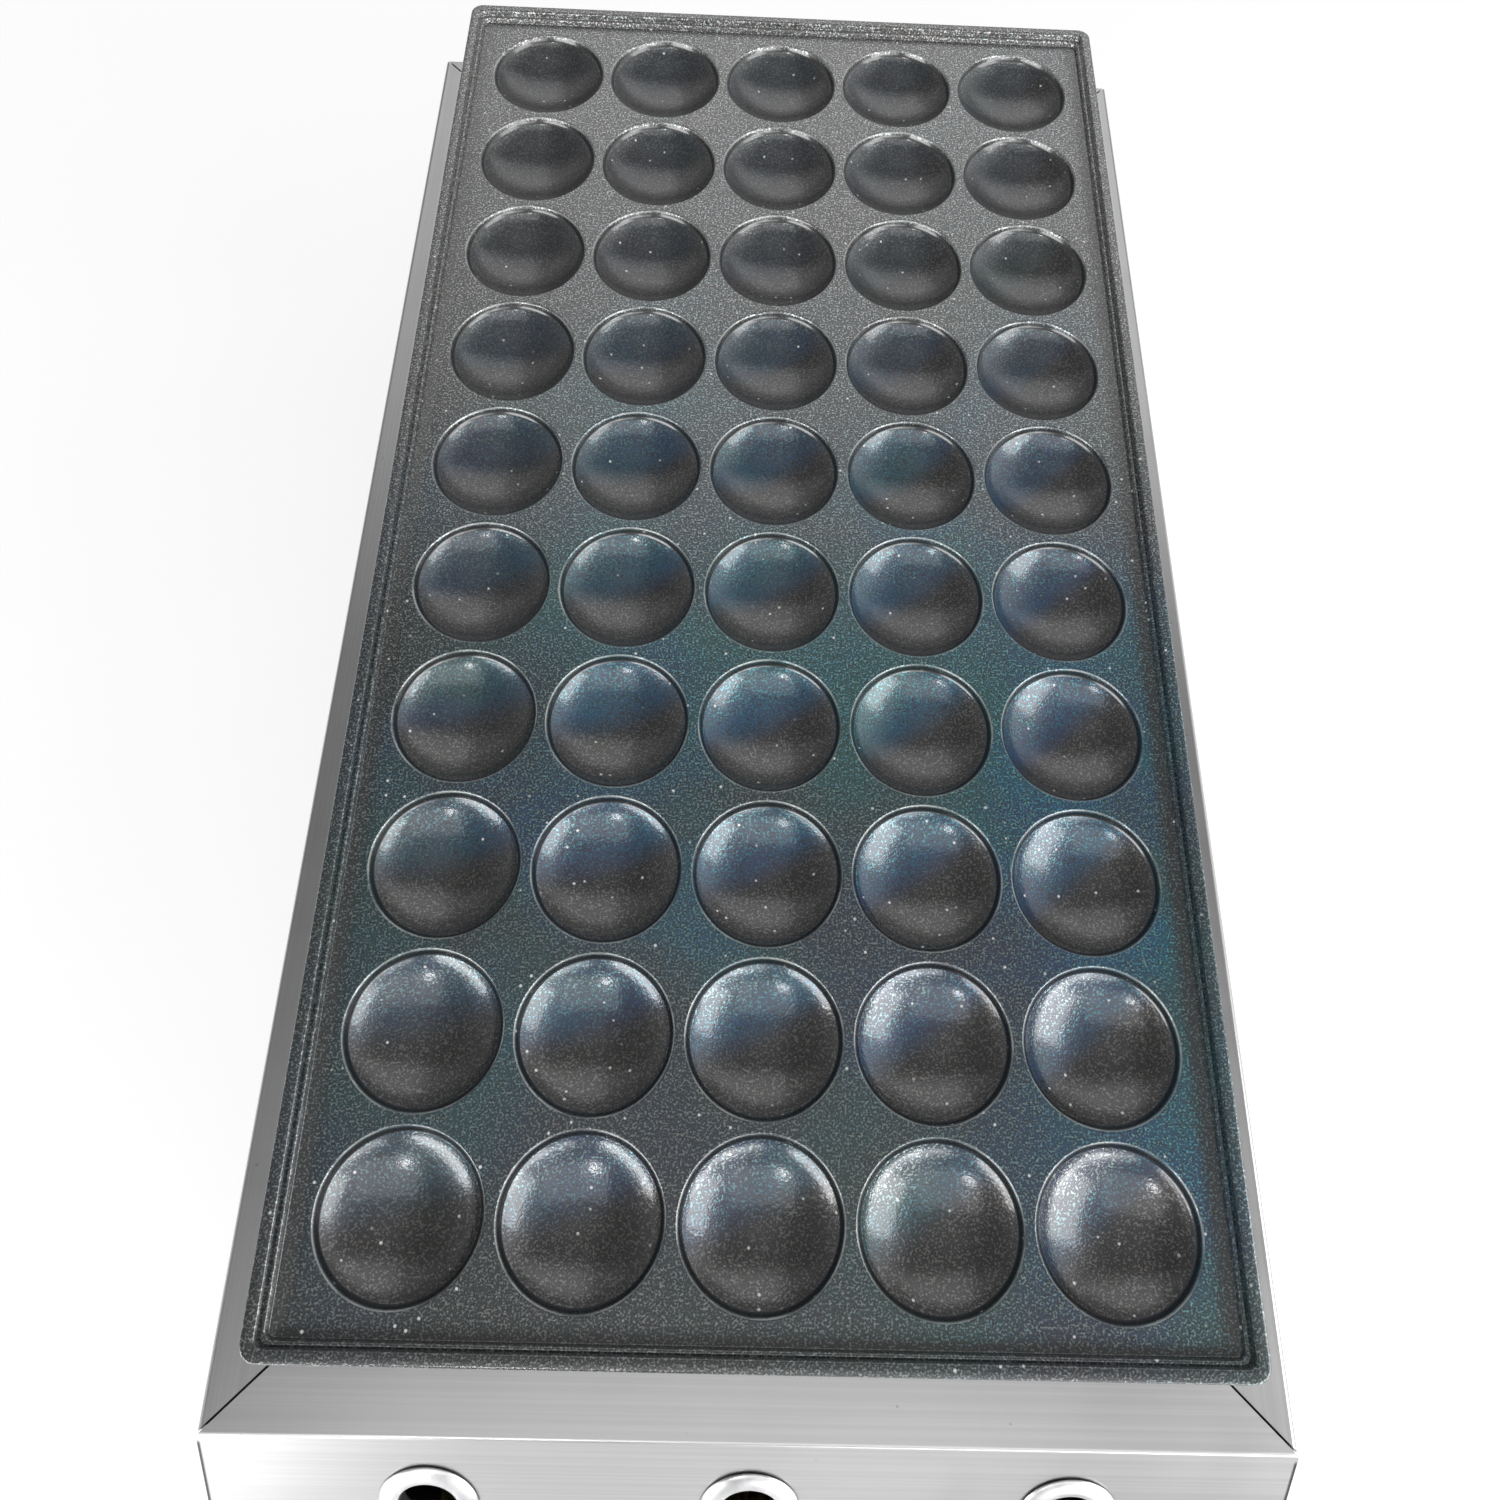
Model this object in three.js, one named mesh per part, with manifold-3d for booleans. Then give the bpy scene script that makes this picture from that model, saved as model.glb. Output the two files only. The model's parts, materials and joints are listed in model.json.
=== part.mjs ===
// Gas waffle maker: a countertop gas griddle with one cast plate of fifty round dishes.
// Millimetres. +Z is up, +Y runs from the knobs to the back, +X is to the right of the cook.
// The floor is z = 0, and the finished group is centred on the middle of its own box in X and Y.
import * as THREE from 'three';
import { mergeVertices } from 'three/addons/utils/BufferGeometryUtils.js';
import Module from 'manifold-3d';

const wasm = await Module();
wasm.setup();

// General clearances
const contactGap = 0.3;        // between pieces that rest on or against each other
const overrun = 5;             // how far a cutting shape runs past what it cuts

// Bake plate
const dishPitch = 50;          // centre to centre, both ways
const dishColumns = 5;
const dishRows = 10;
const dishMouthDiameter = 46;
const dishDepth = 10;
const plateMargin = 36;        // outer dish centre to the plate's edge
const deckThickness = 15;      // flat underside, so a dish has a thinner floor
const rimHeight = 4;           // rim above the deck
const rimWidth = 4;
const ledgeHeight = 2;
const ledgeWidth = 2;
const plateCornerRadius = 5;
const plateLocatorDiameter = 7; // cast pegs that drop inside the fire box
const plateLocatorLength = 5;

// Housing
const housingSheet = 1.2;
const housingHeight = 150;     // bottom edge of the panels to the flange
const plateRise = 40;          // deck above the flange
const flangeMargin = 25;       // flange beyond the plate's edge, on all four sides
const fasciaAngle = 49;        // degrees from vertical
const fasciaLength = 70;       // along the slope
const housingBend = 2;         // middle radius of the folds
const mitreDepth = 4;          // how far down the corner mitres are cut

// Base pan and feet
const panSheet = 1.5;
const panUpturn = 16;
const panSlotLength = 60;
const panSlotWidth = 8;
const panSlotPitch = 70;
const panSlotColumnPitch = 80;
const panSlotCount = 5;
const footHeight = 25;
const footTopDiameter = 34;
const footBottomDiameter = 28;
const footInset = 30;          // foot centre in from the side and rear panels
const footSocketDiameter = 15;
const footSocketDepth = 13;
const footScrewDiameter = 6;
const footScrewHeadDiameter = 12;
const footScrewHeadHeight = 5;
const footScrewReach = 8;      // thread that stands above the base pan
const screwClearance = 0.4;

// Fire box
const fireSheet = 1.2;
const fireBoxInset = 8;        // plate edge beyond the fire box wall
const fireTopLip = 6;
const fireFootLip = 12;
const flangeToFireGap = 1.5;
const flueSlotHeight = 14;
const flueSlotLength = 26;
const flueSlotPitch = 42;
const flueSlotSideCount = 11;
const flueSlotEndCount = 5;
const flueSlotRise = 5;        // bottom of the flue slots above the flange
const windowWidth = 40;        // burner windows in the front wall
const windowFootHeight = 45;   // bottom of the windows above the base pan
const windowAboveBurner = 8;

// Burners
const burnerSideInset = 40.5;  // plate's side edge to the axis of an outer burner
const burnerShares = [-1, 0, 1];
const burnerNames = ['left', 'centre', 'right'];
const burnerHeadDiameter = 30;
const burnerWall = 1.5;
const flameHeight = 40;        // burner top to the underside of the plate
const burnerFrontInset = 42;   // burner head's front end behind the fire box front
const burnerRearInset = 14;
const neckDiameter = 22;
const neckSides = 8;
const neckSteps = 6;
const neckOverlap = 10;        // neck runs this far into the head
const bellDiameter = 32;
const bellLength = 10;
const neckStraight = 8;
const portWidth = 3;
const portLength = 16;
const portPitch = 28;
const portCount = 15;

// Burner rails and heat shield
const railSheet = 1.5;
const railInset = 2;           // rail ends clear of the side walls
const railFoot = 12;
const railSaddleShare = 0.35;  // how much of the burner's height lies in the saddle
const railFromEnd = 14;        // rails in from the ends of the burner heads
const shieldSheet = 1;
const shieldHeight = 30;
const shieldSideInset = 9;

// Gas train
const valveHeight = 70;        // gas cock axis above the panels' bottom edge
const valveDiameter = 20;
const valveLength = 38;
const valveNoseDiameter = 11;
const valveNoseLength = 7;
const valveTailDiameter = 13;
const valveTailLength = 6;
const valveBossDiameter = 14;
const valveFromPanel = 3;      // nose behind the front panel
const manifoldDiameter = 18;
const manifoldWall = 2;
const manifoldDrop = 24;       // manifold axis under the valve axis
const manifoldOverhang = 22;   // manifold past the outer valves
const plugDiameter = 22;
const plugLength = 9;
const plugSpigotLength = 8;
const spindleDiameter = 6;
const spindleFlat = 1.2;       // depth of the flat on the spindle
const spindleDepth = 24;       // spindle inside the valve
const spindleClearance = 0.3;
const jetHexDiameter = 11;
const jetHexLength = 6;
const jetThreadDiameter = 7;
const jetThreadLength = 7;
const jetTipDiameter = 6;
const jetTipLength = 6;
const jetBore = 1.6;
const bracketSheet = 2;
const bracketWidth = 24;
const bracketFoot = 14;
const bracketFromValve = 45;   // brackets inward from the outer valves

// Inlet
const inletPipeDiameter = 12;
const inletPipeWall = 1;
const inletWallGap = 16;       // pipe axis outside the fire box wall
const elbowDiameter = 20;
const elbowHeelShare = 0.7;    // how far the elbow's heel stands past the bend's centre
const fittingCollarDiameter = 20;
const fittingCollarLength = 22;
const fittingThreadDiameter = 13;
const fittingThreadLength = 11;
const barbRootDiameter = 9.5;
const barbCrestDiameter = 12;
const barbPitch = 7;
const barbCount = 3;
const fittingBore = 6;
const nutAcrossCorners = 22;
const nutThickness = 6;

// Knobs and dial plates
const knobDiameter = 42;
const knobSkirtDiameter = 46;
const knobSkirtHeight = 4;
const knobHeight = 22;
const knobGripWidth = 9;
const knobGripHeight = 7;
const knobSocketDepth = 15;
const knobRunningGap = 1;
const dialDiameter = 62;
const dialThickness = 1;
const spindleHoleDiameter = 14;

// Lighting and peep rings in the sloped fascia
const ringFromBend = 26;       // ring centre down the slope from the front bend
const ringBore = 17.5;
const ringDiameter = 30;
const ringHeight = 2;
const ringSleeveWall = 1;
const ringSleeveDepth = 4;

// Vents
const sideVentLength = 40;
const sideVentWidth = 5;
const sideVentPitch = 56;
const sideVentCount = 8;
const sideVentHeight = 26;     // above the panels' bottom edge
const sideVentRowPitch = 14;
const sideVentRows = 2;
const rearVentLength = 40;
const rearVentPitch = 56;
const rearVentCount = 4;

// Number of flats that stand for round shapes
const dishSides = 14;
const fineSides = 16;
const roundSides = 12;
const hexSides = 6;
const bendSteps = 3;

// Places worked out from the sizes above
const dishHalfX = (dishColumns - 1) / 2 * dishPitch;
const dishHalfY = (dishRows - 1) / 2 * dishPitch;
const plateHalfX = dishHalfX + plateMargin;
const plateHalfY = dishHalfY + plateMargin;
const burnerSpacing = plateHalfX - burnerSideInset;
const housingHalfX = plateHalfX + flangeMargin;
const housingHalfY = plateHalfY + flangeMargin;
const fireHalfX = plateHalfX - fireBoxInset;
const fireHalfY = plateHalfY - fireBoxInset;
const baseZ = footHeight + contactGap;
const panTopZ = baseZ + panSheet;
const standZ = panTopZ + contactGap;
const flangeZ = baseZ + housingHeight;
const deckZ = flangeZ + plateRise;
const plateUnderZ = deckZ - deckThickness;
const fireTopZ = plateUnderZ - contactGap;
const headZ = plateUnderZ - flameHeight - burnerHeadDiameter / 2;
const headFrontY = burnerFrontInset - fireHalfY;
const headRearY = fireHalfY - burnerRearInset;
const slope = THREE.MathUtils.degToRad(fasciaAngle);
const fasciaRun = fasciaLength * Math.sin(slope);
const fasciaDrop = fasciaLength * Math.cos(slope);
const frontFaceY = -housingHalfY - fasciaRun;
const fasciaFootZ = flangeZ - fasciaDrop;
const innerHalfX = housingHalfX - housingSheet - contactGap;
const innerRearY = housingHalfY - housingSheet - contactGap;
const innerFrontY = frontFaceY + housingSheet + contactGap;
const valveZ = baseZ + valveHeight;
const valveNoseY = frontFaceY + housingSheet + valveFromPanel;
const valveFrontY = valveNoseY + valveNoseLength;
const valveRearY = valveFrontY + valveLength;
const valveTailY = valveRearY + valveTailLength;
const manifoldY = valveFrontY + valveLength / 2;
const manifoldZ = valveZ - manifoldDrop;
const jetHexEndY = valveTailY + contactGap + jetHexLength;
const jetTipY = jetHexEndY + jetTipLength;
const mouthY = jetTipY - jetTipLength / 2;   // the jet's tip stands inside the burner's mouth
const inletX = -fireHalfX - inletWallGap;
const dialBackY = frontFaceY - contactGap;
const knobBackY = dialBackY - dialThickness - knobRunningGap;
const knobFrontY = knobBackY - knobHeight;
const fittingEndY = housingHalfY + fittingThreadLength + barbPitch * barbCount;

// Materials
function metal(color, roughness, metalness = 1) {
  return new THREE.MeshStandardMaterial({ color, roughness, metalness });
}
const coatedPlate = () => metal(0x34363a, 0.5, 0.35);
const stainless = () => metal(0xbfc1c3, 0.32);
const innerSteel = () => metal(0x9a9c9e, 0.45);
const burnerSteel = () => metal(0x8d8f92, 0.5);
const brass = () => metal(0xb59a58, 0.35);
const polished = () => metal(0xdfe1e3, 0.12);
const blackPlastic = () => metal(0x161618, 0.45, 0);
const rubber = () => metal(0x1b1b1c, 0.85, 0);
const zincSteel = () => metal(0xaeb2b6, 0.4);
const printedDial = () => metal(0xc9cbcd, 0.4);

// Closed solids
function solid(geometry) {
  const bare = geometry.clone();
  bare.deleteAttribute('normal');
  bare.deleteAttribute('uv');
  const welded = mergeVertices(bare);
  const points = welded.attributes.position.array;
  const corners = welded.index.array;
  const kept = [];
  const [a, b, c] = [new THREE.Vector3(), new THREE.Vector3(), new THREE.Vector3()];
  let volume = 0;
  for (let i = 0; i < corners.length; i += 3) {
    const [p, q, r] = corners.slice(i, i + 3);
    if (p === q || q === r || r === p) continue;
    kept.push([p, q, r]);
    a.fromArray(points, 3 * p);
    b.fromArray(points, 3 * q);
    c.fromArray(points, 3 * r);
    volume += a.dot(b.cross(c));
  }
  // An outline may run either way round, so its faces are turned outward here.
  if (volume < 0) kept.forEach((corner) => corner.reverse());
  const triVerts = new Uint32Array(kept.flat());
  return new wasm.Manifold(new wasm.Mesh({ numProp: 3, vertProperties: new Float32Array(points), triVerts }));
}

function joined(pieces) {
  return pieces.reduce((whole, piece) => whole.add(piece));
}

function cut(body, tools) {
  return tools.length ? body.subtract(joined(tools)) : body;
}

function part(name, body, material) {
  const { vertProperties, triVerts } = body.getMesh();
  const geometry = new THREE.BufferGeometry();
  geometry.setAttribute('position', new THREE.BufferAttribute(new Float32Array(vertProperties), 3));
  geometry.setIndex(new THREE.BufferAttribute(new Uint32Array(triVerts), 1));
  const flat = geometry.toNonIndexed();
  flat.computeVertexNormals();
  const mesh = new THREE.Mesh(flat, material);
  mesh.name = name;
  return mesh;
}

// A box between two corners
function block([x0, y0, z0], [x1, y1, z1]) {
  const geometry = new THREE.BoxGeometry(x1 - x0, y1 - y0, z1 - z0);
  geometry.translate((x0 + x1) / 2, (y0 + y1) / 2, (z0 + z1) / 2);
  return solid(geometry);
}

// Outlines drawn in (y, z) run along X, outlines in (x, z) along Y, and outlines in (x, y) along Z.
function shapeOf(points) {
  return new THREE.Shape(points.map(([u, v]) => new THREE.Vector2(u, v)));
}

function extruded(points, from, to) {
  return new THREE.ExtrudeGeometry(shapeOf(points), { depth: to - from, bevelEnabled: false });
}

function alongX(points, from, to) {
  const geometry = extruded(points, from, to);
  const [x, y, z] = [new THREE.Vector3(0, 1, 0), new THREE.Vector3(0, 0, 1), new THREE.Vector3(1, 0, 0)];
  geometry.applyMatrix4(new THREE.Matrix4().makeBasis(x, y, z));
  geometry.translate(from, 0, 0);
  return solid(geometry);
}

function alongY(points, from, to) {
  const geometry = extruded(points, from, to);
  geometry.rotateX(Math.PI / 2);
  geometry.translate(0, to, 0);
  return solid(geometry);
}

function alongZ(points, from, to) {
  const geometry = extruded(points, from, to);
  geometry.translate(0, 0, from);
  return solid(geometry);
}

// A profile of (radius, height) pairs turned about Z, then laid along the wanted axis
function turned(profile, sides) {
  const points = profile.map(([radius, height]) => new THREE.Vector2(radius, height));
  const geometry = new THREE.LatheGeometry(points, sides, Math.PI / sides);
  geometry.rotateX(Math.PI / 2);
  return geometry;
}

function turnedZ(profile, sides, [x, y]) {
  const geometry = turned(profile, sides);
  geometry.translate(x, y, 0);
  return solid(geometry);
}

function turnedY(profile, sides, [x, z]) {
  const geometry = turned(profile, sides);
  geometry.rotateX(-Math.PI / 2);
  geometry.translate(x, 0, z);
  return solid(geometry);
}

function turnedX(profile, sides, [y, z]) {
  const geometry = turned(profile, sides);
  geometry.rotateY(Math.PI / 2);
  geometry.translate(0, y, z);
  return solid(geometry);
}

function rod(radius, from, to) {
  return [[0, from], [radius, from], [radius, to], [0, to]];
}

function tube(outer, inner, from, to) {
  return [[inner, from], [outer, from], [outer, to], [inner, to], [inner, from]];
}

// Outline of a folded sheet, from the line along its middle and the middle radius of its folds
function foldedOutline(line, thickness, radius) {
  const points = line.map(([u, v]) => new THREE.Vector2(u, v));
  const middle = [];
  const last = points.length - 1;
  points.forEach((point, i) => {
    const into = i > 0 ? point.clone().sub(points[i - 1]).normalize() : null;
    const out = i < last ? points[i + 1].clone().sub(point).normalize() : null;
    if (!into || !out) {
      middle.push([point, into ?? out]);
      return;
    }
    const turn = Math.atan2(into.cross(out), into.dot(out));
    const reach = radius * Math.tan(Math.abs(turn) / 2);
    const side = Math.sign(turn);
    const start = point.clone().addScaledVector(into, -reach);
    const centre = start.clone().add(new THREE.Vector2(-into.y, into.x).multiplyScalar(side * radius));
    for (let k = 0; k <= bendSteps; k += 1) {
      const angle = turn * k / bendSteps;
      const along = into.clone().rotateAround(new THREE.Vector2(), angle);
      const arm = new THREE.Vector2(along.y, -along.x).multiplyScalar(side * radius);
      middle.push([centre.clone().add(arm), along]);
    }
  });
  const offset = (share) => middle.map(([point, along]) => {
    const normal = new THREE.Vector2(-along.y, along.x);
    return point.clone().addScaledVector(normal, share * thickness).toArray();
  });
  return [...offset(0.5), ...offset(-0.5).reverse()];
}

// Rows of equal slots: centres spread evenly about zero
function spread(count, pitch) {
  return Array.from({ length: count }, (_, i) => (i - (count - 1) / 2) * pitch);
}

function roundedRectangle(halfX, halfY, radius) {
  const shape = new THREE.Shape();
  shape.moveTo(halfX, radius - halfY);
  shape.lineTo(halfX, halfY - radius);
  shape.absarc(halfX - radius, halfY - radius, radius, 0, Math.PI / 2);
  shape.absarc(radius - halfX, halfY - radius, radius, Math.PI / 2, Math.PI);
  shape.absarc(radius - halfX, radius - halfY, radius, Math.PI, 1.5 * Math.PI);
  shape.absarc(halfX - radius, radius - halfY, radius, 1.5 * Math.PI, 2 * Math.PI);
  return shape.extractPoints(bendSteps).shape.map((point) => point.toArray());
}

function plateBand(inset, from, to) {
  const radius = Math.max(plateCornerRadius - inset, plateCornerRadius / 2);
  return alongZ(roundedRectangle(plateHalfX - inset, plateHalfY - inset, radius), from, to);
}

// Bake plate: deck, rim and ledge, a grid of dishes and four locating pegs underneath
function dishProfile() {
  const mouth = dishMouthDiameter / 2;
  const sphere = (mouth * mouth + dishDepth * dishDepth) / (2 * dishDepth);
  const ringShares = [0, 0.4, 0.75, 1];
  const bowl = ringShares.map((share) => {
    const radius = share * mouth;
    const height = sphere - dishDepth - Math.sqrt(sphere * sphere - radius * radius);
    return [radius, deckZ + height];
  });
  return [...bowl, [mouth, deckZ + overrun], [0, deckZ + overrun]];
}

function dishCentres() {
  const columns = spread(dishColumns, dishPitch);
  const rows = spread(dishRows, dishPitch);
  return rows.flatMap((y) => columns.map((x) => [x, y]));
}

function bakePlate() {
  const slab = plateBand(0, plateUnderZ, deckZ + rimHeight);
  const tray = plateBand(rimWidth, deckZ + ledgeHeight, deckZ + rimHeight + overrun);
  const deck = plateBand(rimWidth + ledgeWidth, deckZ, deckZ + rimHeight + overrun);
  const dishes = dishCentres().map((centre) => turnedZ(dishProfile(), dishSides, centre));
  const pegX = fireHalfX - fireSheet - contactGap - plateLocatorDiameter / 2;
  const pegY = fireHalfY - fireSheet - 2 * contactGap - plateLocatorDiameter / 2;
  const pegProfile = rod(plateLocatorDiameter / 2, plateUnderZ - plateLocatorLength, plateUnderZ + contactGap);
  const pegs = [-1, 1].flatMap((sx) => [-1, 1].map((sy) => (
    turnedZ(pegProfile, roundSides, [sx * pegX, sy * pegY]))));
  return cut(joined([slab, ...pegs]), [tray, deck, ...dishes]);
}

// Housing panels
const mitreInnerHalfX = fireHalfX + flangeToFireGap;
const mitreInnerHalfY = fireHalfY + flangeToFireGap;

// At a corner, what a front or rear flange leaves to the side flange, or the other way round
function mitreCutter(sx, sy, leavesSides) {
  const [cornerX, cornerY] = [sx * housingHalfX, sy * housingHalfY];
  const reach = housingHalfX - mitreInnerHalfX + overrun;
  const half = contactGap / 2 * Math.SQRT2;
  const outer = [cornerX + sx * overrun, cornerY + sy * overrun];
  const inner = [cornerX - sx * reach, cornerY - sy * reach];
  const width = 2 * (reach + overrun);
  const away = leavesSides ? [inner[0] + sx * width, inner[1]] : [inner[0], inner[1] + sy * width];
  const [shiftX, shiftY] = leavesSides ? [sx * half, 0] : [0, sy * half];
  const outline = [outer, inner, away].map(([x, y]) => [x - shiftX, y - shiftY]);
  return alongZ(outline, flangeZ - mitreDepth, flangeZ + overrun);
}

function frontPanel() {
  const half = housingSheet / 2;
  const bendX = half * Math.tan((Math.PI / 2 - slope) / 2);
  const footBend = half * Math.tan(slope / 2);
  const line = [
    [-mitreInnerHalfY, flangeZ - half],
    [-housingHalfY + bendX, flangeZ - half],
    [frontFaceY + half, fasciaFootZ - footBend],
    [frontFaceY + half, baseZ],
  ];
  const sheet = alongX(foldedOutline(line, housingSheet, housingBend), -housingHalfX, housingHalfX);
  const down = new THREE.Vector3(0, -Math.sin(slope), -Math.cos(slope));
  const centre = new THREE.Vector3(0, -housingHalfY, flangeZ).addScaledVector(down, ringFromBend);
  const ringHoleRadius = ringBore / 2 + ringSleeveWall + contactGap;
  const holes = burnerShares.flatMap((share) => {
    const x = share * burnerSpacing;
    const peep = turned(rod(ringHoleRadius, -overrun, overrun), fineSides);
    peep.rotateX(Math.PI / 2 - slope);
    peep.translate(x, centre.y, centre.z);
    const spindle = rod(spindleHoleDiameter / 2, frontFaceY - overrun, frontFaceY + overrun);
    return [solid(peep), turnedY(spindle, roundSides, [x, valveZ])];
  });
  return cut(sheet, [...holes, mitreCutter(-1, -1, true), mitreCutter(1, -1, true)]);
}

function sidePanel(side) {
  const half = housingSheet / 2;
  const line = [
    [side * mitreInnerHalfX, flangeZ - half],
    [side * (housingHalfX - half), flangeZ - half],
    [side * (housingHalfX - half), baseZ],
  ];
  const sheet = alongY(foldedOutline(line, housingSheet, housingBend), innerFrontY, innerRearY);
  // The side stops behind the fascia's inner face and inside the front flange's mitre.
  const inward = housingSheet + contactGap;
  const topY = -housingHalfY + inward * Math.tan((Math.PI / 2 - slope) / 2);
  const footZ = fasciaFootZ - inward * Math.tan(slope / 2);
  const footY = frontFaceY + inward;
  const rise = (flangeZ - inward - footZ) / (topY - footY);
  const lead = [footY - overrun, footZ - overrun * rise];
  const above = flangeZ + overrun;
  const front = alongX([lead, [topY, flangeZ - inward], [topY, above], [lead[0], above]],
    -housingHalfX - overrun, housingHalfX + overrun);
  const vents = [];
  for (const y of spread(sideVentCount, sideVentPitch)) {
    for (const row of spread(sideVentRows, sideVentRowPitch)) {
      const z = baseZ + sideVentHeight + row;
      vents.push(block([side * housingHalfX - overrun, y - sideVentLength / 2, z - sideVentWidth / 2],
        [side * housingHalfX + overrun, y + sideVentLength / 2, z + sideVentWidth / 2]));
    }
  }
  return cut(sheet, [front, mitreCutter(side, -1, false), mitreCutter(side, 1, false), ...vents]);
}

function rearPanel() {
  const half = housingSheet / 2;
  const line = [
    [mitreInnerHalfY, flangeZ - half],
    [housingHalfY - half, flangeZ - half],
    [housingHalfY - half, baseZ],
  ];
  const sheet = alongX(foldedOutline(line, housingSheet, housingBend), -housingHalfX, housingHalfX);
  const hole = rod(fittingThreadDiameter / 2 + contactGap, housingHalfY - overrun, housingHalfY + overrun);
  const vents = [];
  for (const x of spread(rearVentCount, rearVentPitch)) {
    for (const row of spread(sideVentRows, sideVentRowPitch)) {
      const z = headZ + row;
      vents.push(block([x - rearVentLength / 2, housingHalfY - overrun, z - sideVentWidth / 2],
        [x + rearVentLength / 2, housingHalfY + overrun, z + sideVentWidth / 2]));
    }
  }
  const inlet = turnedY(hole, roundSides, [inletX, manifoldZ]);
  return cut(sheet, [inlet, mitreCutter(-1, 1, true), mitreCutter(1, 1, true), ...vents]);
}

// Base pan with upturned edges, air slots and screw holes
const panHalfX = innerHalfX - contactGap;
const footFrontY = frontFaceY + footInset + housingSheet;
const footRearY = housingHalfY - footInset;
const footX = housingHalfX - footInset;
const footPlaces = [['front_left', -1, footFrontY], ['front_right', 1, footFrontY],
  ['rear_left', -1, footRearY], ['rear_right', 1, footRearY]];

function basePan() {
  const frontY = innerFrontY + contactGap;
  const rearY = innerRearY - contactGap;
  const outer = block([-panHalfX, frontY, baseZ], [panHalfX, rearY, baseZ + panUpturn]);
  const inner = block([panSheet - panHalfX, frontY + panSheet, panTopZ],
    [panHalfX - panSheet, rearY - panSheet, baseZ + panUpturn + overrun]);
  const slots = spread(panSlotCount, panSlotPitch).flatMap((y) => burnerShares.map((share) => {
    const x = share * panSlotColumnPitch;
    return block([x - panSlotLength / 2, y - panSlotWidth / 2, baseZ - overrun],
      [x + panSlotLength / 2, y + panSlotWidth / 2, panTopZ + overrun]);
  }));
  const hole = rod(footScrewDiameter / 2 + screwClearance, baseZ - overrun, panTopZ + overrun);
  const screws = footPlaces.map(([, side, y]) => turnedZ(hole, roundSides, [side * footX, y]));
  return cut(outer, [inner, ...slots, ...screws]);
}

function foot() {
  const bore = footScrewDiameter / 2 + screwClearance;
  const socket = footSocketDiameter / 2;
  return turnedZ([
    [socket, 0], [footBottomDiameter / 2, 0], [footTopDiameter / 2, footHeight],
    [bore, footHeight], [bore, footSocketDepth], [socket, footSocketDepth], [socket, 0],
  ], roundSides, [0, 0]);
}

function footScrew() {
  const head = footScrewHeadDiameter / 2;
  const shank = footScrewDiameter / 2;
  const seat = footSocketDepth - contactGap;
  return turnedZ([
    [0, seat - footScrewHeadHeight], [head, seat - footScrewHeadHeight], [head, seat], [shank, seat],
    [shank, panTopZ + footScrewReach], [0, panTopZ + footScrewReach],
  ], roundSides, [0, 0]);
}

// Fire box walls: a channel whose lips turn outward, foot lip on the pan, top lip under the plate
function fireWallLine() {
  const half = fireSheet / 2;
  return [
    [fireFootLip, standZ + half],
    [-half, standZ + half],
    [-half, fireTopZ - half],
    [fireTopLip, fireTopZ - half],
  ];
}

function flueSlots(count, depth) {
  const low = flangeZ + flueSlotRise;
  return spread(count, flueSlotPitch).map((place) => [
    [place - flueSlotLength / 2, -depth, low], [place + flueSlotLength / 2, depth, low + flueSlotHeight]]);
}

function fireSideWall(side) {
  const outline = foldedOutline(fireWallLine(), fireSheet, fireSheet)
    .map(([u, v]) => [side * (fireHalfX + u), v]);
  const wall = alongY(outline, -fireHalfY, fireHalfY);
  const slots = flueSlots(flueSlotSideCount, overrun).map(([[y0, x0, z0], [y1, x1, z1]]) => (
    block([side * fireHalfX + x0, y0, z0], [side * fireHalfX + x1, y1, z1])));
  return cut(wall, slots);
}

function fireEndWall(end) {
  const outline = foldedOutline(fireWallLine(), fireSheet, fireSheet)
    .map(([u, v]) => [end * (fireHalfY + u), v]);
  const halfLength = fireHalfX - fireSheet - contactGap;
  const wall = alongX(outline, -halfLength, halfLength);
  const slots = flueSlots(flueSlotEndCount, overrun).map(([[x0, y0, z0], [x1, y1, z1]]) => (
    block([x0, end * fireHalfY + y0, z0], [x1, end * fireHalfY + y1, z1])));
  const windows = end > 0 ? [] : burnerShares.map((share) => {
    const x = share * burnerSpacing;
    return block([x - windowWidth / 2, -fireHalfY - overrun, standZ + windowFootHeight],
      [x + windowWidth / 2, -fireHalfY + overrun, headZ + burnerHeadDiameter / 2 + windowAboveBurner]);
  });
  return cut(wall, [...slots, ...windows]);
}

// Tube burner: bell mouth, swan neck and a long head with a row of ports along its top
function neckCurve(startY) {
  const endY = headFrontY + neckOverlap;
  const path = new THREE.CurvePath();
  const start = new THREE.Vector3(0, startY, valveZ);
  const bendStart = new THREE.Vector3(0, mouthY + bellLength + neckStraight, valveZ);
  const end = new THREE.Vector3(0, endY, headZ);
  const middleY = (bendStart.y + endY) / 2;
  path.add(new THREE.LineCurve3(start, bendStart));
  path.add(new THREE.CubicBezierCurve3(bendStart, new THREE.Vector3(0, middleY, valveZ),
    new THREE.Vector3(0, middleY, headZ), end));
  return path;
}

function neck(radius, startY) {
  const angles = spread(neckSides, 2 * Math.PI / neckSides);
  const ring = angles.map((angle) => [radius * Math.cos(angle), radius * Math.sin(angle)]);
  const geometry = new THREE.ExtrudeGeometry(shapeOf(ring), {
    steps: neckSteps, bevelEnabled: false, extrudePath: neckCurve(startY),
  });
  return solid(geometry);
}

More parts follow.
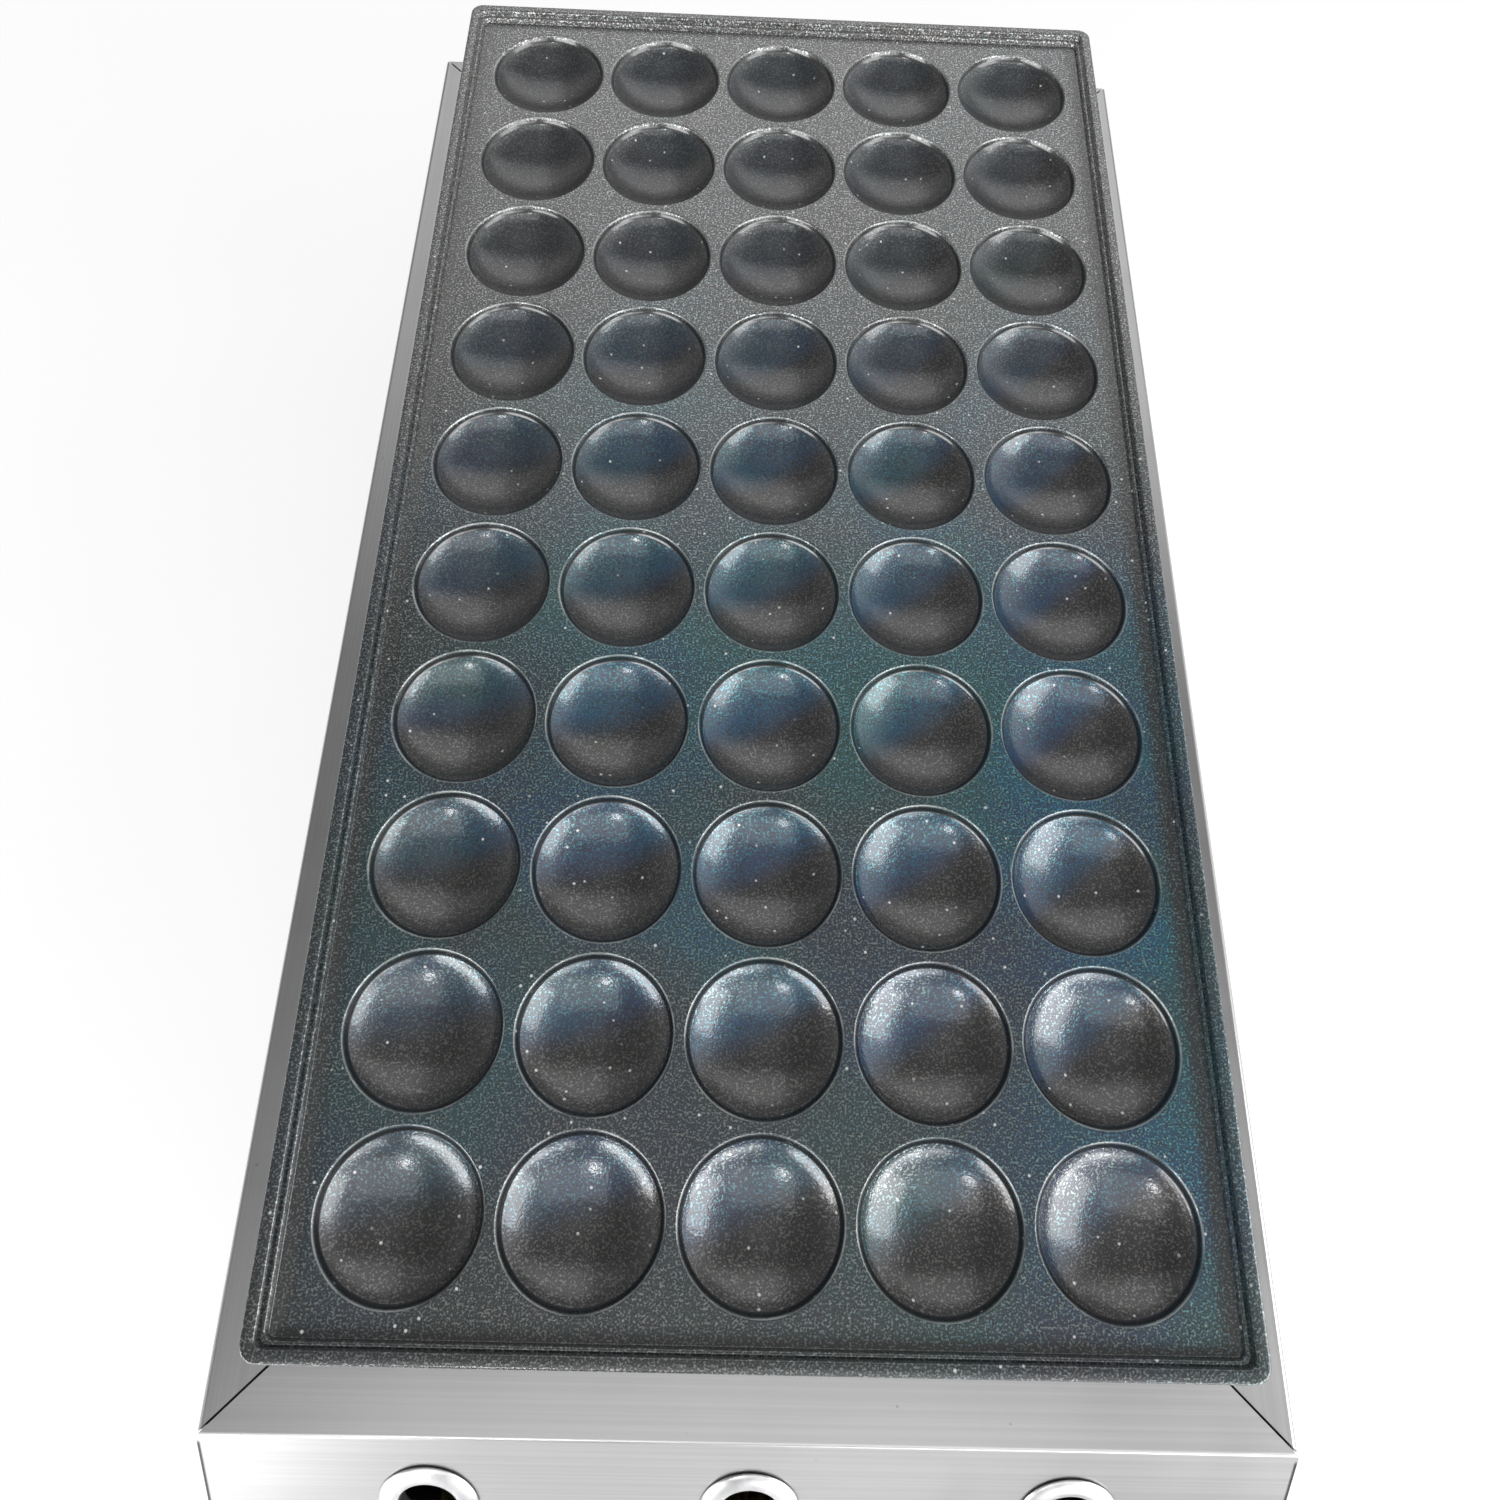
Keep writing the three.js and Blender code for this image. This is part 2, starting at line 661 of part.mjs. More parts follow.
function burner() {
  const outer = burnerHeadDiameter / 2;
  const inner = outer - burnerWall;
  const neckInner = neckDiameter / 2 - burnerWall;
  const bellEndY = mouthY + bellLength;
  const bell = [[0, mouthY], [bellDiameter / 2, mouthY], [neckDiameter / 2, bellEndY],
    [neckDiameter / 2, bellEndY + burnerWall], [0, bellEndY + burnerWall]];
  const bellBore = [[0, mouthY - overrun], [bellDiameter / 2 - burnerWall, mouthY - overrun],
    [bellDiameter / 2 - burnerWall, mouthY], [neckInner, bellEndY], [neckInner, bellEndY + burnerWall],
    [0, bellEndY + burnerWall]];
  const body = joined([
    turnedY(rod(outer, headFrontY, headRearY), roundSides, [0, headZ]),
    neck(neckDiameter / 2, bellEndY),
    turnedY(bell, roundSides, [0, valveZ]),
  ]);
  const headMiddleY = (headFrontY + headRearY) / 2;
  const ports = spread(portCount, portPitch).map((y) => (
    block([-portWidth / 2, headMiddleY + y - portLength / 2, headZ + inner / 2],
      [portWidth / 2, headMiddleY + y + portLength / 2, headZ + outer + overrun])));
  return cut(body, [
    turnedY(rod(inner, headFrontY + burnerWall, headRearY - burnerWall), roundSides, [0, headZ]),
    neck(neckInner, bellEndY),
    turnedY(bellBore, roundSides, [0, valveZ]),
    ...ports,
  ]);
}

// Rail across the fire box with a saddle for each burner head
function burnerRail(y, footSide) {
  const halfLength = fireHalfX - fireSheet - railInset;
  const saddleTopZ = headZ - burnerHeadDiameter / 2 + railSaddleShare * burnerHeadDiameter;
  const footZ = standZ + railSheet / 2;
  const line = [[y + footSide * railFoot, footZ], [y, footZ], [y, saddleTopZ]];
  const plate = alongX(foldedOutline(line, railSheet, railSheet), -halfLength, halfLength);
  const saddle = rod(burnerHeadDiameter / 2 + contactGap, y - overrun, y + overrun);
  return cut(plate, burnerShares.map((share) => (
    turnedY(saddle, roundSides, [share * burnerSpacing, headZ]))));
}
const frontRailY = headFrontY + railFromEnd + neckOverlap;
const rearRailY = headRearY - railFromEnd;

function heatShield() {
  const halfX = fireHalfX - shieldSideInset;
  const top = standZ + shieldHeight;
  const line = [[-halfX, standZ], [-halfX, top], [halfX, top], [halfX, standZ]];
  const clear = railFoot + railSheet + contactGap;
  return alongY(foldedOutline(line, shieldSheet, shieldSheet), frontRailY + clear, rearRailY - clear);
}

// Gas train
const valveX = burnerShares.map((share) => share * burnerSpacing);
const manifoldLeftX = valveX[0] - manifoldOverhang;
const manifoldRightX = valveX[valveX.length - 1] + manifoldOverhang;

function gasManifold() {
  const pipe = tube(manifoldDiameter / 2, manifoldDiameter / 2 - manifoldWall, manifoldLeftX, manifoldRightX);
  return turnedX(pipe, roundSides, [manifoldY, manifoldZ]);
}

function manifoldPlug() {
  const spigot = manifoldDiameter / 2 - manifoldWall - contactGap;
  const face = manifoldRightX + contactGap;
  return turnedX([[0, face - plugSpigotLength], [spigot, face - plugSpigotLength], [spigot, face],
    [plugDiameter / 2, face], [plugDiameter / 2, face + plugLength], [0, face + plugLength]],
  hexSides, [manifoldY, manifoldZ]);
}

function manifoldBracket(x) {
  const top = manifoldZ + manifoldDiameter / 4;
  const line = [[x + bracketFoot, standZ + bracketSheet / 2], [x, standZ + bracketSheet / 2], [x, top]];
  const strap = alongY(foldedOutline(line, bracketSheet, bracketSheet),
    manifoldY - bracketWidth / 2, manifoldY + bracketWidth / 2);
  const saddle = rod(manifoldDiameter / 2 + contactGap, x - overrun, x + overrun);
  return cut(strap, [turnedX(saddle, roundSides, [manifoldY, manifoldZ])]);
}

function valveBody() {
  const body = [[0, valveNoseY], [valveNoseDiameter / 2, valveNoseY], [valveNoseDiameter / 2, valveFrontY],
    [valveDiameter / 2, valveFrontY], [valveDiameter / 2, valveRearY], [valveTailDiameter / 2, valveRearY],
    [valveTailDiameter / 2, valveTailY], [0, valveTailY]];
  const bossFootZ = manifoldZ + manifoldDiameter / 2 + contactGap;
  const boss = turnedZ(rod(valveBossDiameter / 2, bossFootZ, valveZ), roundSides, [0, manifoldY]);
  const spindleBore = rod(spindleDiameter / 2 + spindleClearance, valveNoseY - overrun,
    valveNoseY + spindleDepth + contactGap);
  const jetBoreHole = rod(jetThreadDiameter / 2 + spindleClearance, valveTailY - jetThreadLength - contactGap,
    valveTailY + overrun);
  return cut(joined([turnedY(body, roundSides, [0, valveZ]), boss]), [
    turnedY(spindleBore, roundSides, [0, valveZ]), turnedY(jetBoreHole, roundSides, [0, valveZ])]);
}

function jet() {
  const thread = jetThreadDiameter / 2;
  const seat = valveTailY + contactGap;
  const bore = jetBore / 2;
  return turnedY([[bore, valveTailY - jetThreadLength], [thread, valveTailY - jetThreadLength], [thread, seat],
    [jetHexDiameter / 2, seat], [jetHexDiameter / 2, jetHexEndY], [jetTipDiameter / 2, jetHexEndY],
    [jetTipDiameter / 2 - bore, jetTipY], [bore, jetTipY], [bore, valveTailY - jetThreadLength]],
  hexSides, [0, valveZ]);
}

// Spindle with a flat on its outer end, and the knob whose socket fits it
const spindleFrontY = knobBackY - knobSocketDepth + contactGap;

function flatCutter(clearance, fromY, toY) {
  const level = spindleDiameter / 2 - spindleFlat + clearance;
  return block([-spindleDiameter, fromY, valveZ + level], [spindleDiameter, toY, valveZ + spindleDiameter]);
}

function spindle() {
  const bar = rod(spindleDiameter / 2, spindleFrontY, valveNoseY + spindleDepth);
  return cut(turnedY(bar, roundSides, [0, valveZ]), [flatCutter(0, spindleFrontY - overrun, knobBackY)]);
}

function knob() {
  const profile = [[0, knobBackY], [knobSkirtDiameter / 2, knobBackY],
    [knobSkirtDiameter / 2, knobBackY - knobSkirtHeight], [knobDiameter / 2, knobBackY - knobSkirtHeight],
    [knobDiameter / 2 - knobSkirtHeight / 2, knobFrontY + knobGripHeight], [0, knobFrontY + knobGripHeight]];
  const grip = block([-knobGripWidth / 2, knobFrontY, valveZ - knobDiameter / 2 + knobSkirtHeight],
    [knobGripWidth / 2, knobBackY - knobSkirtHeight, valveZ + knobDiameter / 2 - knobSkirtHeight]);
  const socket = cut(turnedY(rod(spindleDiameter / 2 + spindleClearance, knobBackY - knobSocketDepth,
    knobBackY + overrun), roundSides, [0, valveZ]), [
    flatCutter(spindleClearance, knobBackY - knobSocketDepth - overrun, knobBackY + overrun * 2)]);
  return cut(joined([turnedY(profile, fineSides, [0, valveZ]), grip]), [socket]);
}

function dialPlate() {
  return turnedY(tube(dialDiameter / 2, spindleHoleDiameter / 2, dialBackY - dialThickness, dialBackY),
    fineSides, [0, valveZ]);
}

// Lighting ring: a flared lip on the slope with a sleeve through the panel
function peepRing() {
  const bore = ringBore / 2;
  const sleeve = bore + ringSleeveWall;
  const lip = ringDiameter / 2;
  const geometry = turned([[bore, -ringSleeveDepth], [sleeve, -ringSleeveDepth], [sleeve, contactGap],
    [lip, contactGap], [(lip + bore) / 2, ringHeight], [bore + ringSleeveWall / 2, ringHeight],
    [bore, ringHeight - ringSleeveWall / 2], [bore, -ringSleeveDepth]], fineSides);
  geometry.rotateX(Math.PI / 2 - slope);
  const down = new THREE.Vector3(0, -Math.sin(slope), -Math.cos(slope)).multiplyScalar(ringFromBend);
  geometry.translate(0, -housingHalfY + down.y, flangeZ + down.z);
  return solid(geometry);
}

// Inlet: elbow on the manifold's left end, pipe to the back, bulkhead fitting with a hose barb
function inletElbow() {
  const outer = elbowDiameter / 2;
  const bore = inletPipeDiameter / 2 - inletPipeWall;
  const faceX = manifoldLeftX - contactGap;
  const faceY = manifoldY + elbowDiameter;
  const heel = outer * elbowHeelShare;
  const across = turnedX(rod(outer, inletX - heel, faceX), roundSides, [manifoldY, manifoldZ]);
  const away = turnedY(rod(outer, manifoldY - heel, faceY), roundSides, [inletX, manifoldZ]);
  return cut(joined([across, away]), [
    turnedX(rod(bore, inletX, faceX + overrun), roundSides, [manifoldY, manifoldZ]),
    turnedY(rod(bore, manifoldY, faceY + overrun), roundSides, [inletX, manifoldZ])]);
}
const collarRearY = innerRearY;
const collarFrontY = collarRearY - fittingCollarLength;

function inletPipe() {
  const outer = inletPipeDiameter / 2;
  return turnedY(tube(outer, outer - inletPipeWall, manifoldY + elbowDiameter + contactGap,
    collarFrontY - contactGap), roundSides, [inletX, manifoldZ]);
}

function inletFitting() {
  const bore = fittingBore / 2;
  const thread = fittingThreadDiameter / 2;
  const barbStartY = housingHalfY + fittingThreadLength;
  const barbs = Array.from({ length: barbCount }, (_, i) => [
    [barbCrestDiameter / 2, barbStartY + i * barbPitch],
    [barbRootDiameter / 2, barbStartY + (i + 1) * barbPitch]]).flat();
  return turnedY([[bore, collarFrontY], [fittingCollarDiameter / 2, collarFrontY],
    [fittingCollarDiameter / 2, collarRearY], [thread, collarRearY], [thread, barbStartY], ...barbs,
    [bore, fittingEndY], [bore, collarFrontY]], roundSides, [inletX, manifoldZ]);
}

function inletNut() {
  const bore = fittingThreadDiameter / 2 + contactGap;
  const face = housingHalfY + contactGap;
  const hexagon = turnedY(rod(nutAcrossCorners / 2, face, face + nutThickness), hexSides,
    [inletX, manifoldZ]);
  return cut(hexagon, [turnedY(rod(bore, face - overrun, face + nutThickness + overrun), roundSides,
    [inletX, manifoldZ])]);
}

// Assembly
const machine = new THREE.Group();
machine.add(
  part('base_pan', basePan(), innerSteel()),
  part('front_panel', frontPanel(), stainless()),
  part('left_side_panel', sidePanel(-1), stainless()),
  part('right_side_panel', sidePanel(1), stainless()),
  part('rear_panel', rearPanel(), stainless()),
  part('fire_box_left', fireSideWall(-1), innerSteel()),
  part('fire_box_right', fireSideWall(1), innerSteel()),
  part('fire_box_front', fireEndWall(-1), innerSteel()),
  part('fire_box_rear', fireEndWall(1), innerSteel()),
  part('heat_shield', heatShield(), innerSteel()),
  part('bake_plate', bakePlate(), coatedPlate()),
  part('burner_rail_front', burnerRail(frontRailY, 1), innerSteel()),
  part('burner_rail_rear', burnerRail(rearRailY, -1), innerSteel()),
  part('gas_manifold', gasManifold(), zincSteel()),
  part('manifold_plug', manifoldPlug(), brass()),
  part('manifold_bracket_left', manifoldBracket(valveX[0] + bracketFromValve), zincSteel()),
  part('manifold_bracket_right', manifoldBracket(valveX[valveX.length - 1] - bracketFromValve), zincSteel()),
  part('inlet_elbow', inletElbow(), brass()),
  part('inlet_pipe', inletPipe(), zincSteel()),
  part('inlet_fitting', inletFitting(), brass()),
  part('inlet_nut', inletNut(), brass()),
);

burnerNames.forEach((name, i) => {
  const station = new THREE.Group();
  station.position.x = valveX[i];
  station.add(
    part(`burner_${name}`, burner(), burnerSteel()),
    part(`valve_body_${name}`, valveBody(), brass()),
    part(`jet_${name}`, jet(), brass()),
    part(`spindle_${name}`, spindle(), zincSteel()),
    part(`knob_${name}`, knob(), blackPlastic()),
    part(`dial_plate_${name}`, dialPlate(), printedDial()),
    part(`peep_ring_${name}`, peepRing(), polished()),
  );
  machine.add(station);
});

for (const [name, side, y] of footPlaces) {
  const corner = new THREE.Group();
  corner.position.set(side * footX, y, 0);
  corner.add(
    part(`foot_${name}`, foot(), rubber()),
    part(`foot_screw_${name}`, footScrew(), zincSteel()),
  );
  machine.add(corner);
}

machine.position.y = -(knobFrontY + fittingEndY) / 2;

export default machine;
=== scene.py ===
"""Gas waffle maker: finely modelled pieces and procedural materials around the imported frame.

Shapes are in millimetres in the row frame, and become metres when a mesh is made. Numbers inside the
materials, the lamps and the floor are in metres.
"""
import json
import math

import bmesh  # noqa: E402
import bpy  # noqa: E402
from mathutils import Matrix, Vector  # noqa: E402


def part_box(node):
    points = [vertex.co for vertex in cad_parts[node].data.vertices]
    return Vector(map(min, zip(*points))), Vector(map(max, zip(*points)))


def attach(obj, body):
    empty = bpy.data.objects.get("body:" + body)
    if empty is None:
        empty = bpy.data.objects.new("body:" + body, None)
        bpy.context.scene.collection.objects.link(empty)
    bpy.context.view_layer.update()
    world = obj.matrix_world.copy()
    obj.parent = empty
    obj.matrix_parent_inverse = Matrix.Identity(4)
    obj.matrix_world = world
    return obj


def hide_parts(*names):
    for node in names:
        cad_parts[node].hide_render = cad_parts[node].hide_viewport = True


MM = 0.001
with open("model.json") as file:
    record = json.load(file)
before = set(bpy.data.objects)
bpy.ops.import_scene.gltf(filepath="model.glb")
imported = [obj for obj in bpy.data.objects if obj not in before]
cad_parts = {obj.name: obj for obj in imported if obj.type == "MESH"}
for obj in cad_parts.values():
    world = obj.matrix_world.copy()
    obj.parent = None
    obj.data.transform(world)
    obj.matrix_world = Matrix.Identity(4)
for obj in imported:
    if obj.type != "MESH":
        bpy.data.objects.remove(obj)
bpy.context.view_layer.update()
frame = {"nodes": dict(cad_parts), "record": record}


def node_box(node):
    """A CAD node's lowest and highest corners at rest."""
    low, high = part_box(node)
    return low / MM, high / MM


# Sizes. GAP is the play between two pieces, and OVER is how far a cutter runs past what it cuts.
GAP, OVER = 0.3, 5

plate_low, plate_high = node_box("bake_plate")
MIDDLE_Y = (plate_low.y + plate_high.y) / 2
PLATE_X, PLATE_Y = plate_high.x, (plate_high.y - plate_low.y) / 2
PITCH, COLUMNS, ROWS = 50, 5, 10
GRID_X, GRID_Y = COLUMNS * PITCH / 2, ROWS * PITCH / 2
RIM_HEIGHT, DECK_THICK = 4, 15
DECK_Z = plate_high.z - RIM_HEIGHT
PLATE_UNDER_Z = DECK_Z - DECK_THICK
PLATE_PEG = 3.5

panel_low, panel_high = node_box("front_panel")
HOUSING_X, HOUSING_Y = panel_high.x, PLATE_Y + 25
BASE_Z, FLANGE_Z = panel_low.z, panel_high.z
FRONT_Y, REAR_Y = panel_low.y, MIDDLE_Y + HOUSING_Y
SHEET, BASE_SHEET = 1.2, 1.5
HALF = SHEET / 2
INNER_FRONT_Y, INNER_REAR_Y = FRONT_Y + SHEET + GAP, REAR_Y - SHEET - GAP
SLOPE = math.radians(49)
FASCIA, RING_DOWN = 70, 26
FASCIA_FOOT_Z = FLANGE_Z - FASCIA * math.cos(SLOPE)
FIRE_X, FIRE_Y = PLATE_X - 8, PLATE_Y - 8
MITRE_X, MITRE_Y = FIRE_X + 1.5, FIRE_Y + 1.5
RING_BORE, RING_WALL = 17.5 / 2, 1.0

SPACING = 95.5
STATIONS = {"left": -SPACING, "centre": 0.0, "right": SPACING}
VALVE_Z = BASE_Z + 70
NOSE_Y = FRONT_Y + SHEET + 3
VALVE_FRONT_Y = NOSE_Y + 7
VALVE_REAR_Y = VALVE_FRONT_Y + 38
VALVE_TAIL_Y = VALVE_REAR_Y + 6
SPINDLE, SPINDLE_REACH = 3, 24
STEM, STEM_DEPTH = 3.5, 7
JET_HEX_Y = VALVE_TAIL_Y + GAP + 6
JET_TIP_Y = JET_HEX_Y + 6
MOUTH_Y = JET_TIP_Y - 3
MANIFOLD_X, MANIFOLD_Y, MANIFOLD_Z = SPACING + 22, VALVE_FRONT_Y + 19, VALVE_Z - 24
INLET_X = -FIRE_X - 16
HEAD_RADIUS = 15
HEAD_Z = PLATE_UNDER_Z - 40 - HEAD_RADIUS
HEAD_FRONT_Y, HEAD_REAR_Y = MIDDLE_Y + 42 - FIRE_Y, MIDDLE_Y + FIRE_Y - 14
DIAL_BACK_Y = FRONT_Y - GAP
KNOB_BACK_Y = DIAL_BACK_Y - 2
KNOB_FRONT_Y = KNOB_BACK_Y - 22


# Meshes. A shape is (verts, faces).
def tidy_mesh(mesh, smooth=35):
    """Welds doubles, drops slivers, turns faces outward, and keeps edges above smooth degrees sharp."""
    work = bmesh.new()
    work.from_mesh(mesh)
    bmesh.ops.remove_doubles(work, verts=work.verts, dist=0.005 * MM)
    bmesh.ops.dissolve_degenerate(work, edges=work.edges, dist=0.005 * MM)
    bmesh.ops.recalc_face_normals(work, faces=work.faces)
    work.to_mesh(mesh)
    work.free()
    mesh.polygons.foreach_set("use_smooth", [True] * len(mesh.polygons))
    mesh.set_sharp_from_angle(angle=math.radians(smooth))
    mesh.update()


def make_mesh(name, verts, faces, smooth=35):
    mesh = bpy.data.meshes.new(name)
    mesh.from_pydata([[c * MM for c in v] for v in verts], [], faces)
    tidy_mesh(mesh, smooth)
    return mesh


def linked(name, data):
    thing = bpy.data.objects.new(name, data)
    bpy.context.scene.collection.objects.link(thing)
    return thing


def add_face(faces, corners):
    """Adds a face without its repeated corners, where three or more are left."""
    kept = list(dict.fromkeys(corners))
    if len(kept) > 2:
        faces.append(kept)


def along_x(y, z):
    """Where a lathe shape stands, with its local Z along +X."""
    return Matrix.Translation((0, y, z)) @ Matrix.Rotation(math.pi / 2, 4, "Y")


def along_y(x, z):
    return Matrix.Translation((x, 0, z)) @ Matrix.Rotation(-math.pi / 2, 4, "X")


def along_z(x, y, z=0):
    return Matrix.Translation((x, y, z))


def turned(profile, sides, place):
    """A lathe shape: profile of (radius, height), turned about the local Z of the matrix place."""
    verts, rings = [], []
    for radius, height in profile:
        count = sides if radius > 0 else 1
        rings.append(list(range(len(verts), len(verts) + count)))
        for i in range(count):
            angle = 2 * math.pi * (i + 0.5) / sides
            verts.append(place @ Vector((radius * math.cos(angle), radius * math.sin(angle), height)))
    pairs = list(zip(rings, rings[1:]))
    if profile[0][0] > 0:
        pairs.append((rings[-1], rings[0]))
    faces = []
    for low, high in pairs:
        for i in range(sides):
            j = (i + 1) % sides
            add_face(faces, (low[i % len(low)], low[j % len(low)], high[j % len(high)], high[i % len(high)]))
    return verts, faces


def rod(radius, start, end):
    return [(0, start), (radius, start), (radius, end), (0, end)]


def tube(outer, inner, start, end):
    return [(inner, start), (outer, start), (outer, end), (inner, end)]


def run_x(u, v, w):
    return (w, u, v)


def run_y(u, v, w):
    return (u, w, v)


def run_z(u, v, w):
    return (u, v, w)


def extruded(outline, start, end, frame_of):
    """A closed outline of (u, v) run from start to end; frame_of turns (u, v, w) into x, y, z."""
    count = len(outline)
    verts = [frame_of(u, v, start) for u, v in outline] + [frame_of(u, v, end) for u, v in outline]
    faces = [list(range(count))[::-1], list(range(count, 2 * count))]
    faces += [[i, (i + 1) % count, count + (i + 1) % count, count + i] for i in range(count)]
    return verts, faces


def block(low, high):
    outline = [(low[0], low[1]), (high[0], low[1]), (high[0], high[1]), (low[0], high[1])]
    return extruded(outline, low[2], high[2], run_z)


def slot_outline(u, v, half_length, radius, steps, tall=False):
    """Outline of a slot with round ends about (u, v), long along v where tall, and otherwise along u."""
    reach = half_length - radius
    outline = []
    for sign, start in ((1, 0), (-1, math.pi)):
        end_u, end_v = (u, v + sign * reach) if tall else (u + sign * reach, v)
        for k in range(steps + 1):
            angle = start - (0 if tall else math.pi / 2) + math.pi * k / steps
            outline.append((end_u + radius * math.cos(angle), end_v + radius * math.sin(angle)))
    return outline


def swept_tube(path, radius, sides):
    """A closed tube along a path in the plane of y and z."""
    verts, faces = [], [list(range(sides))[::-1]]
    for i, point in enumerate(path):
        before, after = path[max(i - 1, 0)], path[min(i + 1, len(path) - 1)]
        along = Vector((0, after[1] - before[1], after[2] - before[2])).normalized()
        up = Vector((0, -along.z, along.y))
        for k in range(sides):
            angle = 2 * math.pi * (k + 0.5) / sides
            across = Vector((radius * math.cos(angle), 0, 0))
            verts.append(Vector(point) + across + up * radius * math.sin(angle))
    faces.append(list(range(len(verts) - sides, len(verts))))
    for low in range(0, len(verts) - sides, sides):
        for i in range(sides):
            j = (i + 1) % sides
            faces.append([low + i, low + j, low + sides + j, low + sides + i])
    return verts, faces


def merged(shapes):
    verts, faces = [], []
    for some_verts, some_faces in shapes:
        start = len(verts)
        verts += list(some_verts)
        faces += [[start + c for c in face] for face in some_faces]
    return verts, faces


def boolean(mesh, shapes, operation):
    """Applies shapes to a mesh by a boolean operation, and returns the new mesh."""
    target = linked("target", mesh)
    tools = [linked(f"tool_{i}", make_mesh("tool", *shape)) for i, shape in enumerate(shapes)]
    if operation == "DIFFERENCE" and len(tools) > 1:
        group = bpy.data.collections.new("tools")
        for tool in tools:
            group.objects.link(tool)
        step = target.modifiers.new("cut", "BOOLEAN")
        step.operand_type, step.collection = "COLLECTION", group
        step.operation, step.solver = operation, "EXACT"
    else:
        for tool in tools:
            step = target.modifiers.new("step", "BOOLEAN")
            step.object, step.operation, step.solver = tool, operation, "EXACT"
    bpy.context.view_layer.update()
    evaluated = target.evaluated_get(bpy.context.evaluated_depsgraph_get())
    result = bpy.data.meshes.new_from_object(evaluated)
    for thing in (target, *tools):
        bpy.data.objects.remove(thing)
    tidy_mesh(result)
    return result


def fused(mesh, *shapes):
    return boolean(mesh, shapes, "UNION")


def cut(mesh, *shapes):
    return boolean(mesh, shapes, "DIFFERENCE")


def folded_outline(line, radius):
    """Outline of a folded sheet, from the line along its middle and the middle radius of its folds."""
    points, middle, steps = [Vector(p) for p in line], [], 8
    for i, point in enumerate(points):
        into = (point - points[i - 1]).normalized() if i else None
        out = (points[i + 1] - point).normalized() if i < len(points) - 1 else None
        if into is None or out is None:
            middle.append((point, into or out))
            continue
        turn = math.atan2(into.x * out.y - into.y * out.x, into.dot(out))
        side = math.copysign(1, turn)
        start = point - into * radius * math.tan(abs(turn) / 2)
        centre = start + Vector((-into.y, into.x)) * side * radius
        for k in range(steps + 1):
            cos, sin = math.cos(turn * k / steps), math.sin(turn * k / steps)
            along = Vector((into.x * cos - into.y * sin, into.x * sin + into.y * cos))
            middle.append((centre + Vector((along.y, -along.x)) * side * radius, along))
    left, right = [], []
    for point, along in middle:
        normal = Vector((-along.y, along.x)) * SHEET / 2
        left.append(tuple(point + normal))
        right.append(tuple(point - normal))
    return left + right[::-1]


def bevel(piece, width):
    step = piece.modifiers.new("edges", "BEVEL")
    step.width, step.segments = width * MM, 2
    step.limit_method, step.angle_limit = "ANGLE", math.radians(35)
    step.harden_normals = step.use_clamp_overlap = True


def flat_faces(piece):
    """Flat faces of a folded sheet keep a flat look right up to the round of each fold."""
    step = piece.modifiers.new("normals", "WEIGHTED_NORMAL")
    step.mode, step.weight, step.keep_sharp = "FACE_AREA", 100, True


# Materials
class Nodes:
    """A node tree, with short calls for the nodes that the materials and the world use."""

    def __init__(self, tree):
        self.tree = tree
        self.places = self.node("ShaderNodeTexCoord").outputs

    def node(self, kind, **settings):
        made = self.tree.nodes.new(kind)
        for key, value in settings.items():
            setattr(made, key, value)
        return made

    def put(self, socket, value):
        """Links an output to a socket, or sets a plain value on it."""
        if isinstance(value, bpy.types.NodeSocket):
            self.tree.links.new(value, socket)
        else:
            socket.default_value = value

    def fill(self, sockets, *values):
        for socket, value in zip(sockets, values):
            self.put(socket, value)

    def math(self, operation, *values, clamp=False):
        made = self.node("ShaderNodeMath", operation=operation, use_clamp=clamp)
        self.fill(made.inputs, *values)
        return made.outputs[0]

    def times(self, value, *others):
        for other in others:
            value = self.math("MULTIPLY", value, other)
        return value

    def plus(self, a, b):
        return self.math("ADD", a, b)

    def minus(self, a, b):
        return self.math("SUBTRACT", a, b)

    def scaled(self, value, by, plus):
        return self.math("MULTIPLY_ADD", value, by, plus)

    def off(self, value, middle):
        """How far a value is from middle, as a positive number."""
        return self.math("ABSOLUTE", self.minus(value, middle))

    def split(self, vector):
        made = self.node("ShaderNodeSeparateXYZ")
        self.put(made.inputs[0], vector)
        return made.outputs

    def map(self, value, low, high, to_low=0.0, to_high=1.0, smooth=True):
        made = self.node("ShaderNodeMapRange", interpolation_type="SMOOTHSTEP" if smooth else "LINEAR")
        self.fill(made.inputs, value, low, high, to_low, to_high)
        return made.outputs[0]

    def ramp(self, value, *stops):
        made = self.node("ShaderNodeValToRGB")
        self.put(made.inputs[0], value)
        ramp = made.color_ramp.elements
        for element, (position, color) in zip(list(ramp), (stops[0], stops[-1])):
            element.position, element.color = position, color
        for position, color in stops[1:-1]:
            ramp.new(position).color = color
        return made.outputs[0]


